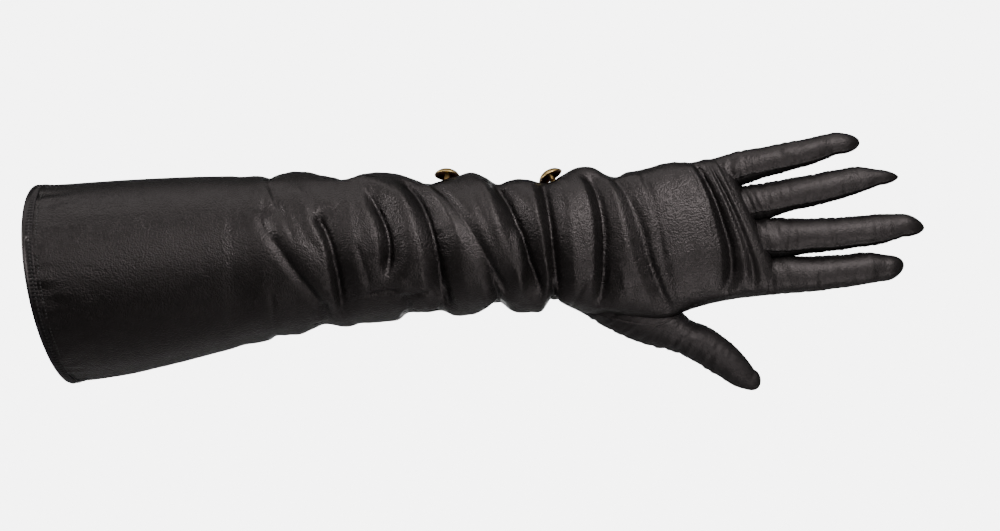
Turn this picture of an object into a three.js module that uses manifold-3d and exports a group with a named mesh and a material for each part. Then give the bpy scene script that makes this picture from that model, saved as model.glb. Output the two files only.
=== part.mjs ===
// Long leather dress glove, a left hand's, in millimetres.
// X runs from the cuff's mouth to the fingers, Z up to the little finger's side, and the back of the hand
// faces -Y. The origin is the middle of the mouth, where the arm goes in.

import * as THREE from 'three'
import { mergeVertices } from 'three/addons/utils/BufferGeometryUtils.js'
import Module from 'manifold-3d'

const wasm = await Module()
wasm.setup()

// Driving dimensions
const LEATHER = 1.3             // thickness of the leather wall
const SEAM = 0.3                // clearance between two pieces that are sewn together
const MOUTH_OVERRUN = 14        // how far the hollow is cut past the cuff's edge
const SLEEVE_SIDES = 28
const FINGER_SIDES = 10
const FINGER_STEPS = 8          // sections along a finger
const FOLDS_FROM = 92           // the sleeve is smooth up to here
const FOLD_STEP = 6.2           // distance between two sections among the folds
const CUFF_STEP = 21            // the same along the smooth cuff
const HAND_END = 347            // the hand's last full section, at the knuckles
const FOLD_SLANT = 24           // the sections lean along with the folds, from the top to underneath
const FOLD_SINK = 2             // how far the leather between two ridges lies inside the mean outline
const UNROLLED_RADIUS = 31      // mean radius of the sleeve among the folds

const BUTTON_WIDTH = 13
const BUTTON_RISE = 7.5         // from the leather to the top of the cap
const BUTTON_RIM_SHARE = 0.56   // where the cap's edge lies, as a share of that
const BUTTON_RIM = 0.9          // height of the rolled rim
const BUTTON_POST = 1.5         // radius of the post
const BUTTON_SHEET = 0.8        // thickness of the cap's metal
const BUTTON_SIDES = 14

const FOURCHETTE_START = 5.2    // half the width of the strip between two fingers, at the crotch
const FOURCHETTE_END = 1.2      // half its width where it runs out
const FOURCHETTE_REACH = 0.86   // share of the finger's length that it covers
const FOURCHETTE_ROLL = 2.4     // how far the strips turn with the fingers, toward the back of the hand

const STRIP_NEAR = 0.3          // the strip's cutter, as shares of the way from a finger's middle to its
const STRIP_FAR = 1.3           // side: from inside the hollow to past the leather

// Sections of the sleeve and hand. A section is an oval that leans from its top point to its bottom point.
// middleY and depth place it front to back, square is 2 for an ellipse and more for fuller corners, and
// lean moves its front edge toward the mouth.
const SLEEVE = table(['topX', 'topZ', 'bottomX', 'bottomZ', 'middleY', 'depth', 'square', 'lean'], [
  [-8.5, 49, 8.5, -49, 0, 90, 2.0, 5],
  [21, 51.2, 30, -46.2, 0, 86, 2.0, 3.5],
  [46, 52.7, 50, -42, 0, 81, 2.0, 2],
  [71, 53.7, 72, -36.5, 0, 76, 2.0, 1],
  [96, 54, 96, -30, 0, 72, 2.0, 0],
  [121, 54.2, 121, -23.5, 0, 68, 2.0, 0],
  [146, 54, 146, -19.5, 0, 65, 2.0, 0],
  [171, 53.5, 171, -16, 0, 62, 2.0, 0],
  [196, 52.5, 196, -13.5, 0, 60, 2.0, 0],
  [221, 52, 221, -11, 0, 57, 2.1, 0],
  [243.5, 52, 243.5, -10, 0, 53, 2.1, 0],
  [261, 55, 261, -12, 0, 48, 2.2, 0],
  [281, 56.5, 281, -16, 1, 43, 2.3, 0],
  [298, 59, 303, -17, 2, 39, 2.4, 0],
  [313, 61, 318, -12, 2, 35, 2.4, 0],
  [324, 62, 338, -8, 1, 30, 2.4, 0],
  [333, 62.7, 361, -5.2, 0, 23, 2.4, 0],
])

// The knuckle end closes in short steps: how far past the last section, and the shares of its height and
// depth.
const KNUCKLE_END = table(['past', 'tall', 'deep'], [
  [3, 0.97, 0.88],
  [6, 0.9, 0.66],
])

// Ridges of the slouched leather. Each runs through three places, given by the distance along the sleeve
// and the angle round it: 0 on top, 90 in front, 180 underneath and 270 behind.
const RIDGES = table(['alongA', 'roundA', 'alongB', 'roundB', 'alongC', 'roundC', 'height', 'width'], [
  [102, 18, 118, 82, 144, 138, 5.5, 13],
  [119, 128, 121, 150, 121, 185, 3.5, 11],
  [121, 0, 121, 50, 129, 84, 4, 11],
  [138, 62, 143, 97, 147, 139, 5, 11],
  [147, 9, 166, 66, 173, 141, 6, 12],
  [171, 0, 190, 68, 196, 146, 6, 11],
  [184, 28, 212, 82, 230, 156, 6, 12],
  [208, -6, 210, 20, 206, 47, 3.5, 9],
  [217, 4, 234, 78, 245, 158, 6, 11],
  [243, 18, 250, 78, 252, 131, 5.5, 10],
  [260, 8, 265, 75, 259, 136, 5, 10],
  [277, 28, 289, 66, 298, 101, 5, 13],
  [306, 0, 322, 75, 325, 149, 3, 10],
  [326, 10, 337, 85, 334, 156, 2.5, 9],
  [130, 186, 117, 268, 104, 352, 4.5, 12],
  [150, 176, 136, 265, 123, 352, 5.5, 11],
  [174, 172, 160, 267, 149, 352, 5.5, 11],
  [196, 172, 184, 265, 172, 352, 5.5, 11],
  [216, 178, 204, 262, 189, 345, 5, 11],
  [232, 178, 220, 265, 208, 350, 4.5, 10],
  [245, 180, 234, 265, 220, 352, 5, 10],
  [257, 175, 250, 262, 244, 352, 5, 10],
  [270, 185, 266, 262, 261, 352, 4.5, 10],
  [296, 215, 287, 270, 279, 345, 3.5, 12],
  [325, 205, 315, 270, 307, 352, 2.5, 10],
])

// Creases between the ridges, in the same columns, with their depth.
const CREASES = table(['alongA', 'roundA', 'alongB', 'roundB', 'alongC', 'roundC', 'height', 'width'], [
  [105, 26, 111, 60, 128, 128, 2, 9],
  [131, 40, 134, 90, 140, 130, 2, 8],
  [155, 60, 157, 88, 162, 128, 2, 9],
  [164, 15, 180, 62, 186, 125, 2, 8],
  [196, 62, 205, 96, 214, 137, 2, 9],
  [216, 37, 223, 84, 236, 131, 2, 8],
  [243, 50, 245, 100, 246, 145, 2.5, 8],
  [258, 26, 258, 90, 255, 153, 2, 8],
  [278, 55, 284, 98, 290, 140, 2, 10],
])

// Fingers and thumb: sections from inside the hand out to the last one before the tip.
const FINGER_COLUMNS = ['topX', 'topZ', 'bottomX', 'bottomZ', 'middleY', 'depth']
const FINGERS = {
  little: {
    tip: [401.5, 7, 71],
    sections: table(FINGER_COLUMNS, [
      [318, 60, 324, 43, 0.5, 18],
      [338, 65.8, 341, 49.5, 0.5, 17],
      [357, 69.5, 358, 54.8, 1, 15.5],
      [375, 73, 377, 60, 3, 14.5],
      [390, 76, 392, 65.5, 5, 12],
      [397.5, 75.2, 398.5, 68.2, 6.5, 8.5],
    ]),
  },
  ring: {
    tip: [419.5, 6, 54],
    sections: table(FINGER_COLUMNS, [
      [326, 46, 334, 28, 0, 19],
      [345, 49, 350, 32.5, -0.5, 18],
      [365, 52.5, 365.5, 36.5, 0, 17],
      [385, 56.2, 386, 41.2, 1, 15.5],
      [400, 58.7, 401, 46, 3, 13],
      [411, 58, 412, 49.5, 4.5, 10],
      [416.5, 56.2, 417, 51.5, 5.5, 6],
    ]),
  },
  middle: {
    tip: [432.5, 5.5, 28.5],
    sections: table(FINGER_COLUMNS, [
      [330, 30, 336, 10, 0, 20],
      [352, 32, 358, 14.5, -1, 19],
      [373, 32.5, 373, 15.3, -0.5, 18],
      [395, 33.5, 395, 17.8, 0.5, 16.5],
      [412, 35, 413, 20.5, 2.5, 14],
      [423, 35.2, 424, 23, 4, 11],
      [429, 32.6, 430, 25.3, 5, 7],
    ]),
  },
  index: {
    tip: [422.5, 6, 9],
    sections: table(FINGER_COLUMNS, [
      [328, 13, 334, -7.5, 1, 21],
      [350, 12.5, 354, -5.8, 0, 19.5],
      [371, 13.6, 372, -4.3, 0, 18],
      [390, 14.3, 390, -2.3, 1, 16.5],
      [405, 15.8, 405, 0, 3, 14.5],
      [414, 15, 414, 1.8, 4.5, 11.5],
      [419.5, 12.8, 419.5, 5, 5.5, 7],
    ]),
  },
  thumb: {
    tip: [351.5, 13, -50.5],
    sections: table(FINGER_COLUMNS, [
      [282, 4, 258, -12, 5, 27],
      [298, -3, 272, -20.5, 6.5, 27],
      [309, -11, 291, -28.5, 7.5, 24],
      [317.5, -18.7, 308, -34, 8.5, 21.5],
      [327, -23, 319.5, -39, 9, 19],
      [336, -29.5, 328.5, -44.7, 10, 17.5],
      [343.5, -37, 337.5, -50.2, 11, 15],
      [348.5, -43.6, 344, -52.8, 12, 11.5],
      [350.6, -47, 347.8, -52.6, 12.8, 7],
    ]),
  },
}

// The seam round the thumb's root, seen from the back of the hand, and how it climbs on the palm's side.
const THUMB_SEAM = table(['x', 'z'], [
  [255, -11],
  [262, -13.5],
  [276, -16.5],
  [290, -19.2],
  [300, -18.8],
  [312, -14],
  [330, -12],
])
const THUMB_SEAM_CLIMB = 0.32   // rise toward the palm, as a share of the distance
const THUMB_SEAM_FROM = -20     // Y where the climb starts

// The binding's section: out along the sleeve from its edge, and out from the leather's face.
const BINDING = table(['inward', 'out'], [
  [5.4, SEAM],
  [5.4, SEAM + 0.8],
  [-1.0, SEAM + 1.2],
  [-2.2, SEAM + 0.2],
  [-2.2, -LEATHER - SEAM - 0.2],
  [-1.0, -LEATHER - SEAM - 1.2],
  [5.4, -LEATHER - SEAM - 0.8],
  [5.4, -LEATHER - SEAM],
  [-SEAM, -LEATHER - SEAM],
  [-SEAM, SEAM],
])

// Where the buttons stand on the sleeve, in degrees round it, and the lean of their posts along the sleeve.
const BUTTONS = table(['name', 'along', 'round', 'lean'], [
  ['button_forearm', 194, 341, 0.05],
  ['button_wrist', 248, 343, -0.38],
])

// Materials
const BLACK_LEATHER = { color: '#1b1a1c', roughness: 0.42, metalness: 0 }
const SIDE_LEATHER = { color: '#151416', roughness: 0.48, metalness: 0 }
const EDGE_LEATHER = { color: '#121114', roughness: 0.3, metalness: 0 }
const GOLD = { color: '#c79a3c', roughness: 0.25, metalness: 1 }

// Tables and curves

function table(columns, rows) {
  return rows.map((row) => Object.fromEntries(columns.map((column, i) => [column, row[i]])))
}

// Value of one column at a place between rows, on a smooth curve through the rows.
function smoothColumn(rows, places, column, at) {
  const last = rows.length - 1
  let i = 0
  while (i < last - 1 && at > places[i + 1]) i += 1
  const slope = (j) => {
    const a = Math.max(j - 1, 0)
    const b = Math.min(j + 1, last)
    return (rows[b][column] - rows[a][column]) / (places[b] - places[a])
  }
  const span = places[i + 1] - places[i]
  const t = (at - places[i]) / span
  const startShare = 2 * t ** 3 - 3 * t ** 2 + 1
  const endShare = 1 - startShare
  const startSlope = (t ** 3 - 2 * t ** 2 + t) * span
  const endSlope = (t ** 3 - t ** 2) * span
  return startShare * rows[i][column] + endShare * rows[i + 1][column]
    + startSlope * slope(i) + endSlope * slope(i + 1)
}

function sectionAt(rows, at) {
  const places = rows.map((row) => (row.topX + row.bottomX) / 2)
  const columns = Object.keys(rows[0])
  return Object.fromEntries(columns.map((column) => [column, smoothColumn(rows, places, column, at)]))
}

// Point of an oval section at an angle from the top, counted toward the front.
function ovalPoint(section, angle, tall = 1, deep = 1) {
  const power = 2 / (section.square ?? 2)
  const up = Math.sign(Math.cos(angle)) * Math.abs(Math.cos(angle)) ** power * tall
  const back = -Math.sign(Math.sin(angle)) * Math.abs(Math.sin(angle)) ** power * deep
  return new THREE.Vector3(
    (section.topX + section.bottomX) / 2 + up * (section.topX - section.bottomX) / 2
      + (section.lean ?? 0) * back,
    section.middleY + back * section.depth / 2,
    (section.topZ + section.bottomZ) / 2 + up * (section.topZ - section.bottomZ) / 2)
}

// Folds

// A fold's middle line on the unrolled sleeve, through its three places, in short steps.
function foldLine(fold) {
  const steps = 12
  const line = []
  for (let i = 0; i <= steps; i += 1) {
    const t = i / steps
    const a = (1 - t) * (1 - 2 * t)
    const b = 4 * t * (1 - t)
    const c = t * (2 * t - 1)
    line.push({
      along: a * fold.alongA + b * fold.alongB + c * fold.alongC,
      round: THREE.MathUtils.degToRad(a * fold.roundA + b * fold.roundB + c * fold.roundC),
      strength: Math.min(1, 0.25 + 4 * Math.min(t, 1 - t)),
    })
  }
  return line
}

const ridgeLines = RIDGES.map(foldLine)
const creaseLines = CREASES.map(foldLine)

function foldStrength(line, width, along, angle) {
  let strongest = 0
  for (const place of line) {
    const turn = Math.atan2(Math.sin(angle - place.round), Math.cos(angle - place.round))
    const distance = Math.hypot(along - place.along, turn * UNROLLED_RADIUS) / width
    strongest = Math.max(strongest, place.strength * Math.max(0, 1 - distance ** 2) ** 1.5)
  }
  return strongest
}

// How far the leather stands off its mean outline.
function foldHeight(along, angle) {
  let ridge = 0
  RIDGES.forEach((fold, i) => {
    ridge = Math.max(ridge, fold.height * foldStrength(ridgeLines[i], fold.width, along, angle))
  })
  let crease = 0
  CREASES.forEach((fold, i) => {
    crease = Math.max(crease, fold.height * foldStrength(creaseLines[i], fold.width, along, angle))
  })
  const slouched = THREE.MathUtils.smoothstep(along, FOLDS_FROM, FOLDS_FROM + 18)
    * (1 - THREE.MathUtils.smoothstep(along, HAND_END - 14, HAND_END))
  return slouched * (ridge - FOLD_SINK) - crease
}

function sleeveNormal(along, angle) {
  const small = 0.01
  const point = (a, b) => ovalPoint(sectionAt(SLEEVE, a), b)
  const forward = point(along + 1, angle).sub(point(along - 1, angle))
  const around = point(along, angle + small).sub(point(along, angle - small))
  return forward.cross(around).normalize().negate()
}

function sleevePoint(along, angle) {
  const point = ovalPoint(sectionAt(SLEEVE, along), angle)
  return point.addScaledVector(sleeveNormal(along, angle), foldHeight(along, angle))
}

// Lofts: rings of points, closed by a middle point at each end

function angles(sides) {
  return Array.from({ length: sides }, (_, i) => i / sides * 2 * Math.PI)
}

// Where a section crosses an angle: among the folds it slants along with them.
function slanted(along, angle) {
  const slant = FOLD_SLANT * THREE.MathUtils.smoothstep(along, FOLDS_FROM - 20, FOLDS_FROM + 60)
    * (1 - THREE.MathUtils.smoothstep(along, HAND_END - 90, HAND_END))
  return along - slant / 2 * Math.cos(angle)
}

function sleeveRings() {
  const places = [0]
  while (places.at(-1) + CUFF_STEP < FOLDS_FROM) places.push(places.at(-1) + CUFF_STEP)
  while (places.at(-1) + FOLD_STEP < HAND_END) places.push(places.at(-1) + FOLD_STEP)
  const rings = places.map((along) => (
    angles(SLEEVE_SIDES).map((angle) => sleevePoint(slanted(along, angle), angle))))
  const end = sectionAt(SLEEVE, HAND_END)
  for (const { past, tall, deep } of KNUCKLE_END) {
    rings.push(angles(SLEEVE_SIDES).map((angle) => shifted(ovalPoint(end, angle, tall, deep), past)))
  }
  return rings
}

function fingerRings({ sections }) {
  const place = (row) => (row.topX + row.bottomX) / 2
  const from = place(sections[0])
  const to = place(sections.at(-1))
  return Array.from({ length: FINGER_STEPS }, (_, i) => {
    const share = Math.sin(i / (FINGER_STEPS - 1) * Math.PI / 2) * 0.35 + i / (FINGER_STEPS - 1) * 0.65
    const section = sectionAt(sections, from + (to - from) * share)
    return angles(FINGER_SIDES).map((angle) => ovalPoint(section, angle))
  })
}

function middleOf(points) {
  const sum = points.reduce((total, point) => total.add(point), new THREE.Vector3())
  return sum.divideScalar(points.length)
}

// The same rings moved in by a distance, square to the skin that they make.
function insetRings(rings, distance) {
  const sides = rings[0].length
  return rings.map((ring, i) => ring.map((point, j) => {
    const before = rings[Math.max(i - 1, 0)][j]
    const after = rings[Math.min(i + 1, rings.length - 1)][j]
    const around = ring[(j + 1) % sides].clone().sub(ring[(j + sides - 1) % sides])
    const outward = after.clone().sub(before).cross(around).normalize().negate()
    return point.clone().addScaledVector(outward, -distance)
  }))
}

function loft(rings, start, end) {
  const sides = rings[0].length
  const points = [...rings.flat(), start, end]
  const startIndex = points.length - 2
  const endIndex = points.length - 1
  const lastRing = (rings.length - 1) * sides
  const faces = []
  for (let j = 0; j < sides; j += 1) {
    const next = (j + 1) % sides
    faces.push([startIndex, next, j])
    faces.push([endIndex, lastRing + j, lastRing + next])
    for (let i = 0; i < rings.length - 1; i += 1) {
      const near = i * sides
      const far = near + sides
      faces.push([near + j, near + next, far + j])
      faces.push([near + next, far + next, far + j])
    }
  }
  return solidOf(points, faces)
}

// A closed ring swept round the mouth: each station holds one section of points.
function sweepRound(stations) {
  const count = stations[0].length
  const faces = []
  stations.forEach((_, i) => {
    const here = i * count
    const there = (i + 1) % stations.length * count
    for (let j = 0; j < count; j += 1) {
      const next = (j + 1) % count
      faces.push([here + j, there + j, here + next])
      faces.push([here + next, there + j, there + next])
    }
  })
  return solidOf(stations.flat(), faces)
}

// Solids

function signedVolume(points, faces) {
  return faces.reduce((total, [a, b, c]) => (
    total + points[a].dot(points[b].clone().cross(points[c])) / 6), 0)
}

function solidOf(points, faces) {
  const outward = signedVolume(points, faces) > 0
  const triangles = outward ? faces : faces.map(([a, b, c]) => [a, c, b])
  return new wasm.Manifold(new wasm.Mesh({
    numProp: 3,
    vertProperties: new Float32Array(points.flatMap((point) => point.toArray())),
    triVerts: new Uint32Array(triangles.flat()),
  }))
}

function solidOfGeometry(geometry) {
  const bare = geometry.index ? geometry.toNonIndexed() : geometry.clone()
  bare.deleteAttribute('normal')
  bare.deleteAttribute('uv')
  const merged = mergeVertices(bare, 1e-4)
  const position = merged.attributes.position
  const points = Array.from({ length: position.count }, (_, i) => (
    new THREE.Vector3().fromBufferAttribute(position, i)))
  const index = merged.index.array
  const faces = []
  for (let i = 0; i < index.length; i += 3) {
    const [a, b, c] = [index[i], index[i + 1], index[i + 2]]
    if (a !== b && b !== c && c !== a) faces.push([a, b, c])
  }
  return solidOf(points, faces)
}

function geometryOf(solid) {
  const mesh = solid.getMesh()
  const points = []
  for (let i = 0; i < mesh.vertProperties.length; i += mesh.numProp) {
    points.push(...mesh.vertProperties.slice(i, i + 3))
  }
  const geometry = new THREE.BufferGeometry()
  geometry.setAttribute('position', new THREE.Float32BufferAttribute(points, 3))
  geometry.setIndex(Array.from(mesh.triVerts))
  geometry.computeVertexNormals()
  return geometry
}

function union(solids) {
  return solids.reduce((whole, solid) => whole.add(solid))
}

// The largest body of a cut, without the slivers that a cutter can leave.
function mainBody(solid) {
  return solid.decompose().sort((a, b) => b.volume() - a.volume())[0]
}

// The glove's skin

const outerRings = sleeveRings()
const innerRings = insetRings(outerRings, LEATHER)

function shifted(point, x) {
  return point.clone().add(new THREE.Vector3(x, 0, 0))
}

function sleeveSolid() {
  const start = middleOf(outerRings[0])
  const end = shifted(middleOf(outerRings.at(-1)), 1.5)
  return loft(outerRings, start, end)
}

function sleeveHollow() {
  const overrun = innerRings[0].map((point) => shifted(point, -MOUTH_OVERRUN))
  const start = middleOf(overrun)
  const end = shifted(middleOf(innerRings.at(-1)), 0.8)
  return loft([overrun, ...innerRings], start, end)
}

function fingerSolid(finger) {
  const rings = fingerRings(finger)
  return loft(rings, middleOf(rings[0]), new THREE.Vector3(...finger.tip))
}

function fingerHollow(finger) {
  const rings = insetRings(fingerRings(finger), LEATHER)
  const tip = new THREE.Vector3(...finger.tip)
  const last = middleOf(rings.at(-1))
  const inward = last.clone().sub(tip).normalize()
  return loft(rings, middleOf(rings[0]), tip.addScaledVector(inward, LEATHER * 1.3))
}

const fingers = Object.values(FINGERS)
const skin = union([sleeveSolid(), ...fingers.map(fingerSolid)])
  .subtract(union([sleeveHollow(), ...fingers.map(fingerHollow)]))

// Cutters for the sewn-in pieces. Each is made twice: at the piece's size, and larger by the seam's
// clearance to cut the hole that the piece fills.

// A bar along one side of a finger, over the width that the strip takes.
function stripCutter({ sections }, side, from, grow) {
  const steps = 4
  const place = (row) => (row.topX + row.bottomX) / 2
  const root = place(sections[0])
  const length = place(sections.at(-1)) - root
  const start = (from - root) / length
  const rings = Array.from({ length: steps + 1 }, (_, i) => {
    const t = i / steps
    const reach = FOURCHETTE_REACH + grow / length
    const section = sectionAt(sections, root + length * (start + (reach - start) * t) - grow * (1 - t))
    const half = FOURCHETTE_START + (FOURCHETTE_END - FOURCHETTE_START) * t ** 0.8 + grow
    const middle = section.middleY + side * FOURCHETTE_ROLL
    const edge = side > 0 ? [section.topX, section.topZ] : [section.bottomX, section.bottomZ]
    const centre = [(section.topX + section.bottomX) / 2, (section.topZ + section.bottomZ) / 2]
    const corner = (out, y) => new THREE.Vector3(
      centre[0] + (edge[0] - centre[0]) * out, y, centre[1] + (edge[1] - centre[1]) * out)
    const near = STRIP_NEAR - grow * 0.15
    const far = STRIP_FAR + grow * 0.15
    return [
      corner(near, middle - half),
      corner(far, middle - half),
      corner(far, middle + half),
      corner(near, middle + half),
    ]
  })
  return loft(rings, middleOf(rings[0]), middleOf(rings.at(-1)))
}

function fourchetteCutter(upper, lower, crotch, grow) {
  return stripCutter(upper, -1, crotch, grow).add(stripCutter(lower, 1, crotch, grow))
}

function thumbCutter(grow) {
  const below = -70
  const across = 60
  const outline = new THREE.Shape()
  outline.moveTo(THUMB_SEAM[0].x - grow, below)
  for (const { x, z } of THUMB_SEAM) outline.lineTo(x - grow / 2, z + grow)
  outline.lineTo(THUMB_SEAM.at(-1).x + 40, THUMB_SEAM.at(-1).z + grow)
  outline.lineTo(THUMB_SEAM.at(-1).x + 40, below)
  outline.closePath()
  const slab = new THREE.ExtrudeGeometry(outline, { depth: across, steps: 1, bevelEnabled: false })
  slab.rotateX(Math.PI / 2)
  slab.translate(0, across + THUMB_SEAM_FROM, 0)
  const position = slab.attributes.position
  for (let i = 0; i < position.count; i += 1) {
    const climb = Math.max(0, position.getY(i) - THUMB_SEAM_FROM) * THUMB_SEAM_CLIMB
    position.setZ(i, position.getZ(i) + climb)
  }
  return solidOfGeometry(slab)
}

const { little, ring, middle, index } = FINGERS
const FOURCHETTES = [
  { name: 'fourchette_ring_little', upper: little, lower: ring, crotch: 338 },
  { name: 'fourchette_middle_ring', upper: ring, lower: middle, crotch: 350 },
  { name: 'fourchette_index_middle', upper: middle, lower: index, crotch: 358 },
]

function buildFourchettes() {
  return FOURCHETTES.map(({ name, upper, lower, crotch }) => ({
    name,
    solid: mainBody(skin.intersect(fourchetteCutter(upper, lower, crotch, 0))),
  }))
}

function buildThumb() {
  return mainBody(skin.intersect(thumbCutter(0)))
}

function buildTrank() {
  const holes = FOURCHETTES.map(({ upper, lower, crotch }) => fourchetteCutter(upper, lower, crotch, SEAM))
  return mainBody(skin.subtract(union([thumbCutter(SEAM), ...holes])))
}

function buildBinding() {
  const around = outerRings[0].map((point, j) => {
    const along = outerRings[1][j].clone().sub(point).normalize()
    const sides = outerRings[0].length
    const tangent = outerRings[0][(j + 1) % sides].clone().sub(outerRings[0][(j + sides - 1) % sides])
    const outward = along.clone().cross(tangent).normalize().negate()
    return BINDING.map(({ inward, out }) => (
      point.clone().addScaledVector(along, inward).addScaledVector(outward, out)))
  })
  return sweepRound(around)
}

// A domed cap with a rolled rim, hollow underneath, on a round post that ends at the leather.
function buttonGeometry() {
  const radius = BUTTON_WIDTH / 2
  const rim = BUTTON_RISE * BUTTON_RIM_SHARE
  const profile = [
    [0, BUTTON_RISE],
    [radius * 0.45, BUTTON_RISE - 0.35],
    [radius * 0.8, BUTTON_RISE - 1.3],
    [radius, rim + BUTTON_RIM],
    [radius, rim],
    [radius - BUTTON_SHEET, rim],
    [radius * 0.75, BUTTON_RISE - 1.3 - BUTTON_SHEET],
    [BUTTON_POST, BUTTON_RISE - 0.5 - BUTTON_SHEET],
    [BUTTON_POST, 0],
    [0, 0],
  ]
  return new THREE.LatheGeometry(profile.map(([r, z]) => new THREE.Vector2(r, z)).reverse(), BUTTON_SIDES)
}

// Places a button: its post and rim stop a seam's clearance above the leather under them.
function placeButton(mesh, trankMesh, { along, round, lean }) {
  const angle = THREE.MathUtils.degToRad(round)
  const axis = sleeveNormal(along, angle).add(new THREE.Vector3(lean, 0, 0)).normalize()
  const turn = new THREE.Quaternion().setFromUnitVectors(new THREE.Vector3(0, 1, 0), axis)
  const start = sleevePoint(along, angle).addScaledVector(axis, 30)
  const fall = (radius, rise) => Math.min(...angles(BUTTON_SIDES).map((corner) => {
    const rim = new THREE.Vector3(radius * Math.cos(corner), 0, radius * Math.sin(corner))
    const ray = new THREE.Raycaster(rim.applyQuaternion(turn).add(start), axis.clone().negate())
    const hits = ray.intersectObject(trankMesh)
    return hits.length > 0 ? hits[0].distance + rise : Infinity
  }))
  const clear = Math.min(fall(BUTTON_POST, 0), fall(BUTTON_WIDTH / 2, BUTTON_RISE * BUTTON_RIM_SHARE))
  mesh.quaternion.copy(turn)
  mesh.position.copy(start.addScaledVector(axis, SEAM - clear))
}

// The assembly

function piece(name, geometry, finish) {
  const mesh = new THREE.Mesh(geometry, new THREE.MeshStandardMaterial(finish))
  mesh.name = name
  return mesh
}

const glove = new THREE.Group()
const trank = piece('trank', geometryOf(buildTrank()), { ...BLACK_LEATHER, side: THREE.DoubleSide })
glove.add(trank)
glove.add(piece('thumb', geometryOf(buildThumb()), BLACK_LEATHER))
for (const { name, solid } of buildFourchettes()) {
  glove.add(piece(name, geometryOf(solid), SIDE_LEATHER))
}
glove.add(piece('cuff_binding', geometryOf(buildBinding()), EDGE_LEATHER))
for (const place of BUTTONS) {
  const button = piece(place.name, geometryOf(solidOfGeometry(buttonGeometry())), GOLD)
  placeButton(button, trank, place)
  glove.add(button)
}

export default glove
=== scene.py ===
# %% [markdown]
# # A long leather dress glove
#
# The real thing is one thin black skin, cut and sewn into a hand with a sleeve. It is worn here: the
# cuff lies smooth, the sleeve slouches into deep diagonal folds down to the knuckles, and two gold
# buttons stand on the little finger's side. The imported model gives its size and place. This lesson
# makes the skin, the seams, the edge binding, the buttons and their finishes around it.

# %% Load the frame
import math

import bpy
import numpy as np
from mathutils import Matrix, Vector, noise
from mathutils.bvhtree import BVHTree


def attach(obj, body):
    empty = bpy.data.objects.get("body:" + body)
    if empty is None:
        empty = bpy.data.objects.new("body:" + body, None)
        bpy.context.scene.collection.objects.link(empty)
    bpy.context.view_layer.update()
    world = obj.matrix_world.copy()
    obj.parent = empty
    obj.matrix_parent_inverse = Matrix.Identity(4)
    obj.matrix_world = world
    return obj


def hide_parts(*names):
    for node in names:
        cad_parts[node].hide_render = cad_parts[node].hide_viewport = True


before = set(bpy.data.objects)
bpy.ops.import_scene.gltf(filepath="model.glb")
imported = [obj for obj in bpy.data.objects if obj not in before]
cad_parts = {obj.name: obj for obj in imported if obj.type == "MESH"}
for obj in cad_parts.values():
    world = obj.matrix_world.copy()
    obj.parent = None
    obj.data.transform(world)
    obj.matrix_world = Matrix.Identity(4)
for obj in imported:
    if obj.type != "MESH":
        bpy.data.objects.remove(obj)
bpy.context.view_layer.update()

MM = 0.001

# %% [markdown]
# ## Sections
#
# A sleeve could be a curve with a bevel, but its section changes from a wide round cuff to a flat hand,
# so a short table of ovals says more. Each oval leans from its top point to its bottom point, as the
# cuff's edge does. A smooth curve through every column gives the sections between the rows.

# %% Tables and smooth columns
def table(names, rows):
    """A table as one array for each named column."""
    return {name: np.array([row[i] for row in rows], float) for i, name in enumerate(names.split())}


def read_between(columns, places, at):
    """Every column on a smooth curve through its rows, read at an array of places."""
    last = len(places) - 1
    i = np.clip(np.searchsorted(places, at) - 1, 0, last - 1)
    before = np.maximum(i - 1, 0)
    after = np.minimum(i + 2, last)
    span = places[i + 1] - places[i]
    t = (at - places[i]) / span
    start_share = 2 * t**3 - 3 * t**2 + 1
    start_pull = (t**3 - 2 * t**2 + t) * span
    end_pull = (t**3 - t**2) * span
    found = {}
    for name, column in columns.items():
        start_slope = (column[i + 1] - column[before]) / (places[i + 1] - places[before])
        end_slope = (column[after] - column[i]) / (places[after] - places[i])
        found[name] = (start_share * column[i] + (1 - start_share) * column[i + 1]
                       + start_pull * start_slope + end_pull * end_slope)
    return found


def read_table(rows, along):
    """A table's columns at any distance along, held level past its first and last rows."""
    places = rows["along"]
    return read_between(rows, places, np.clip(along, places[0], places[-1]))


def smoothstep(value, low, high):
    """A smooth step from 0 at the low value to 1 at the high one."""
    t = np.clip((value - low) / (high - low), 0, 1)
    return t * t * (3 - 2 * t)


SLEEVE = table("top_x top_z bottom_x bottom_z middle_y depth square lean", [
    [-8.5, 49, 8.5, -49, 0, 90, 2.0, 5],
    [21, 51.2, 30, -46.2, 0, 86, 2.0, 3.5],
    [46, 52.7, 50, -42, 0, 81, 2.0, 2],
    [71, 53.7, 72, -36.5, 0, 76, 2.0, 1],
    [96, 54, 96, -30, 0, 72, 2.0, 0],
    [121, 54.2, 121, -23.5, 0, 68, 2.0, 0],
    [146, 54, 146, -19.5, 0, 65, 2.0, 0],
    [171, 53.5, 171, -16, 0, 62, 2.0, 0],
    [196, 52.5, 196, -13.5, 0, 60, 2.0, 0],
    [221, 52, 221, -11, 0, 57, 2.1, 0],
    [243.5, 52, 243.5, -10, 0, 53, 2.1, 0],
    [261, 55, 261, -12, 0, 48, 2.2, 0],
    [281, 56.5, 281, -16, 1, 43, 2.3, 0],
    [298, 59, 303, -17, 2, 39, 2.4, 0],
    [311, 61, 318, -12, 2, 35, 2.4, 0],
    [320, 62, 336, -8, 1, 30, 2.4, 0],
    [328, 62.7, 358, -5.2, 0, 24, 2.4, 0],
])
SLEEVE_PLACES = (SLEEVE["top_x"] + SLEEVE["bottom_x"]) / 2


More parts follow.
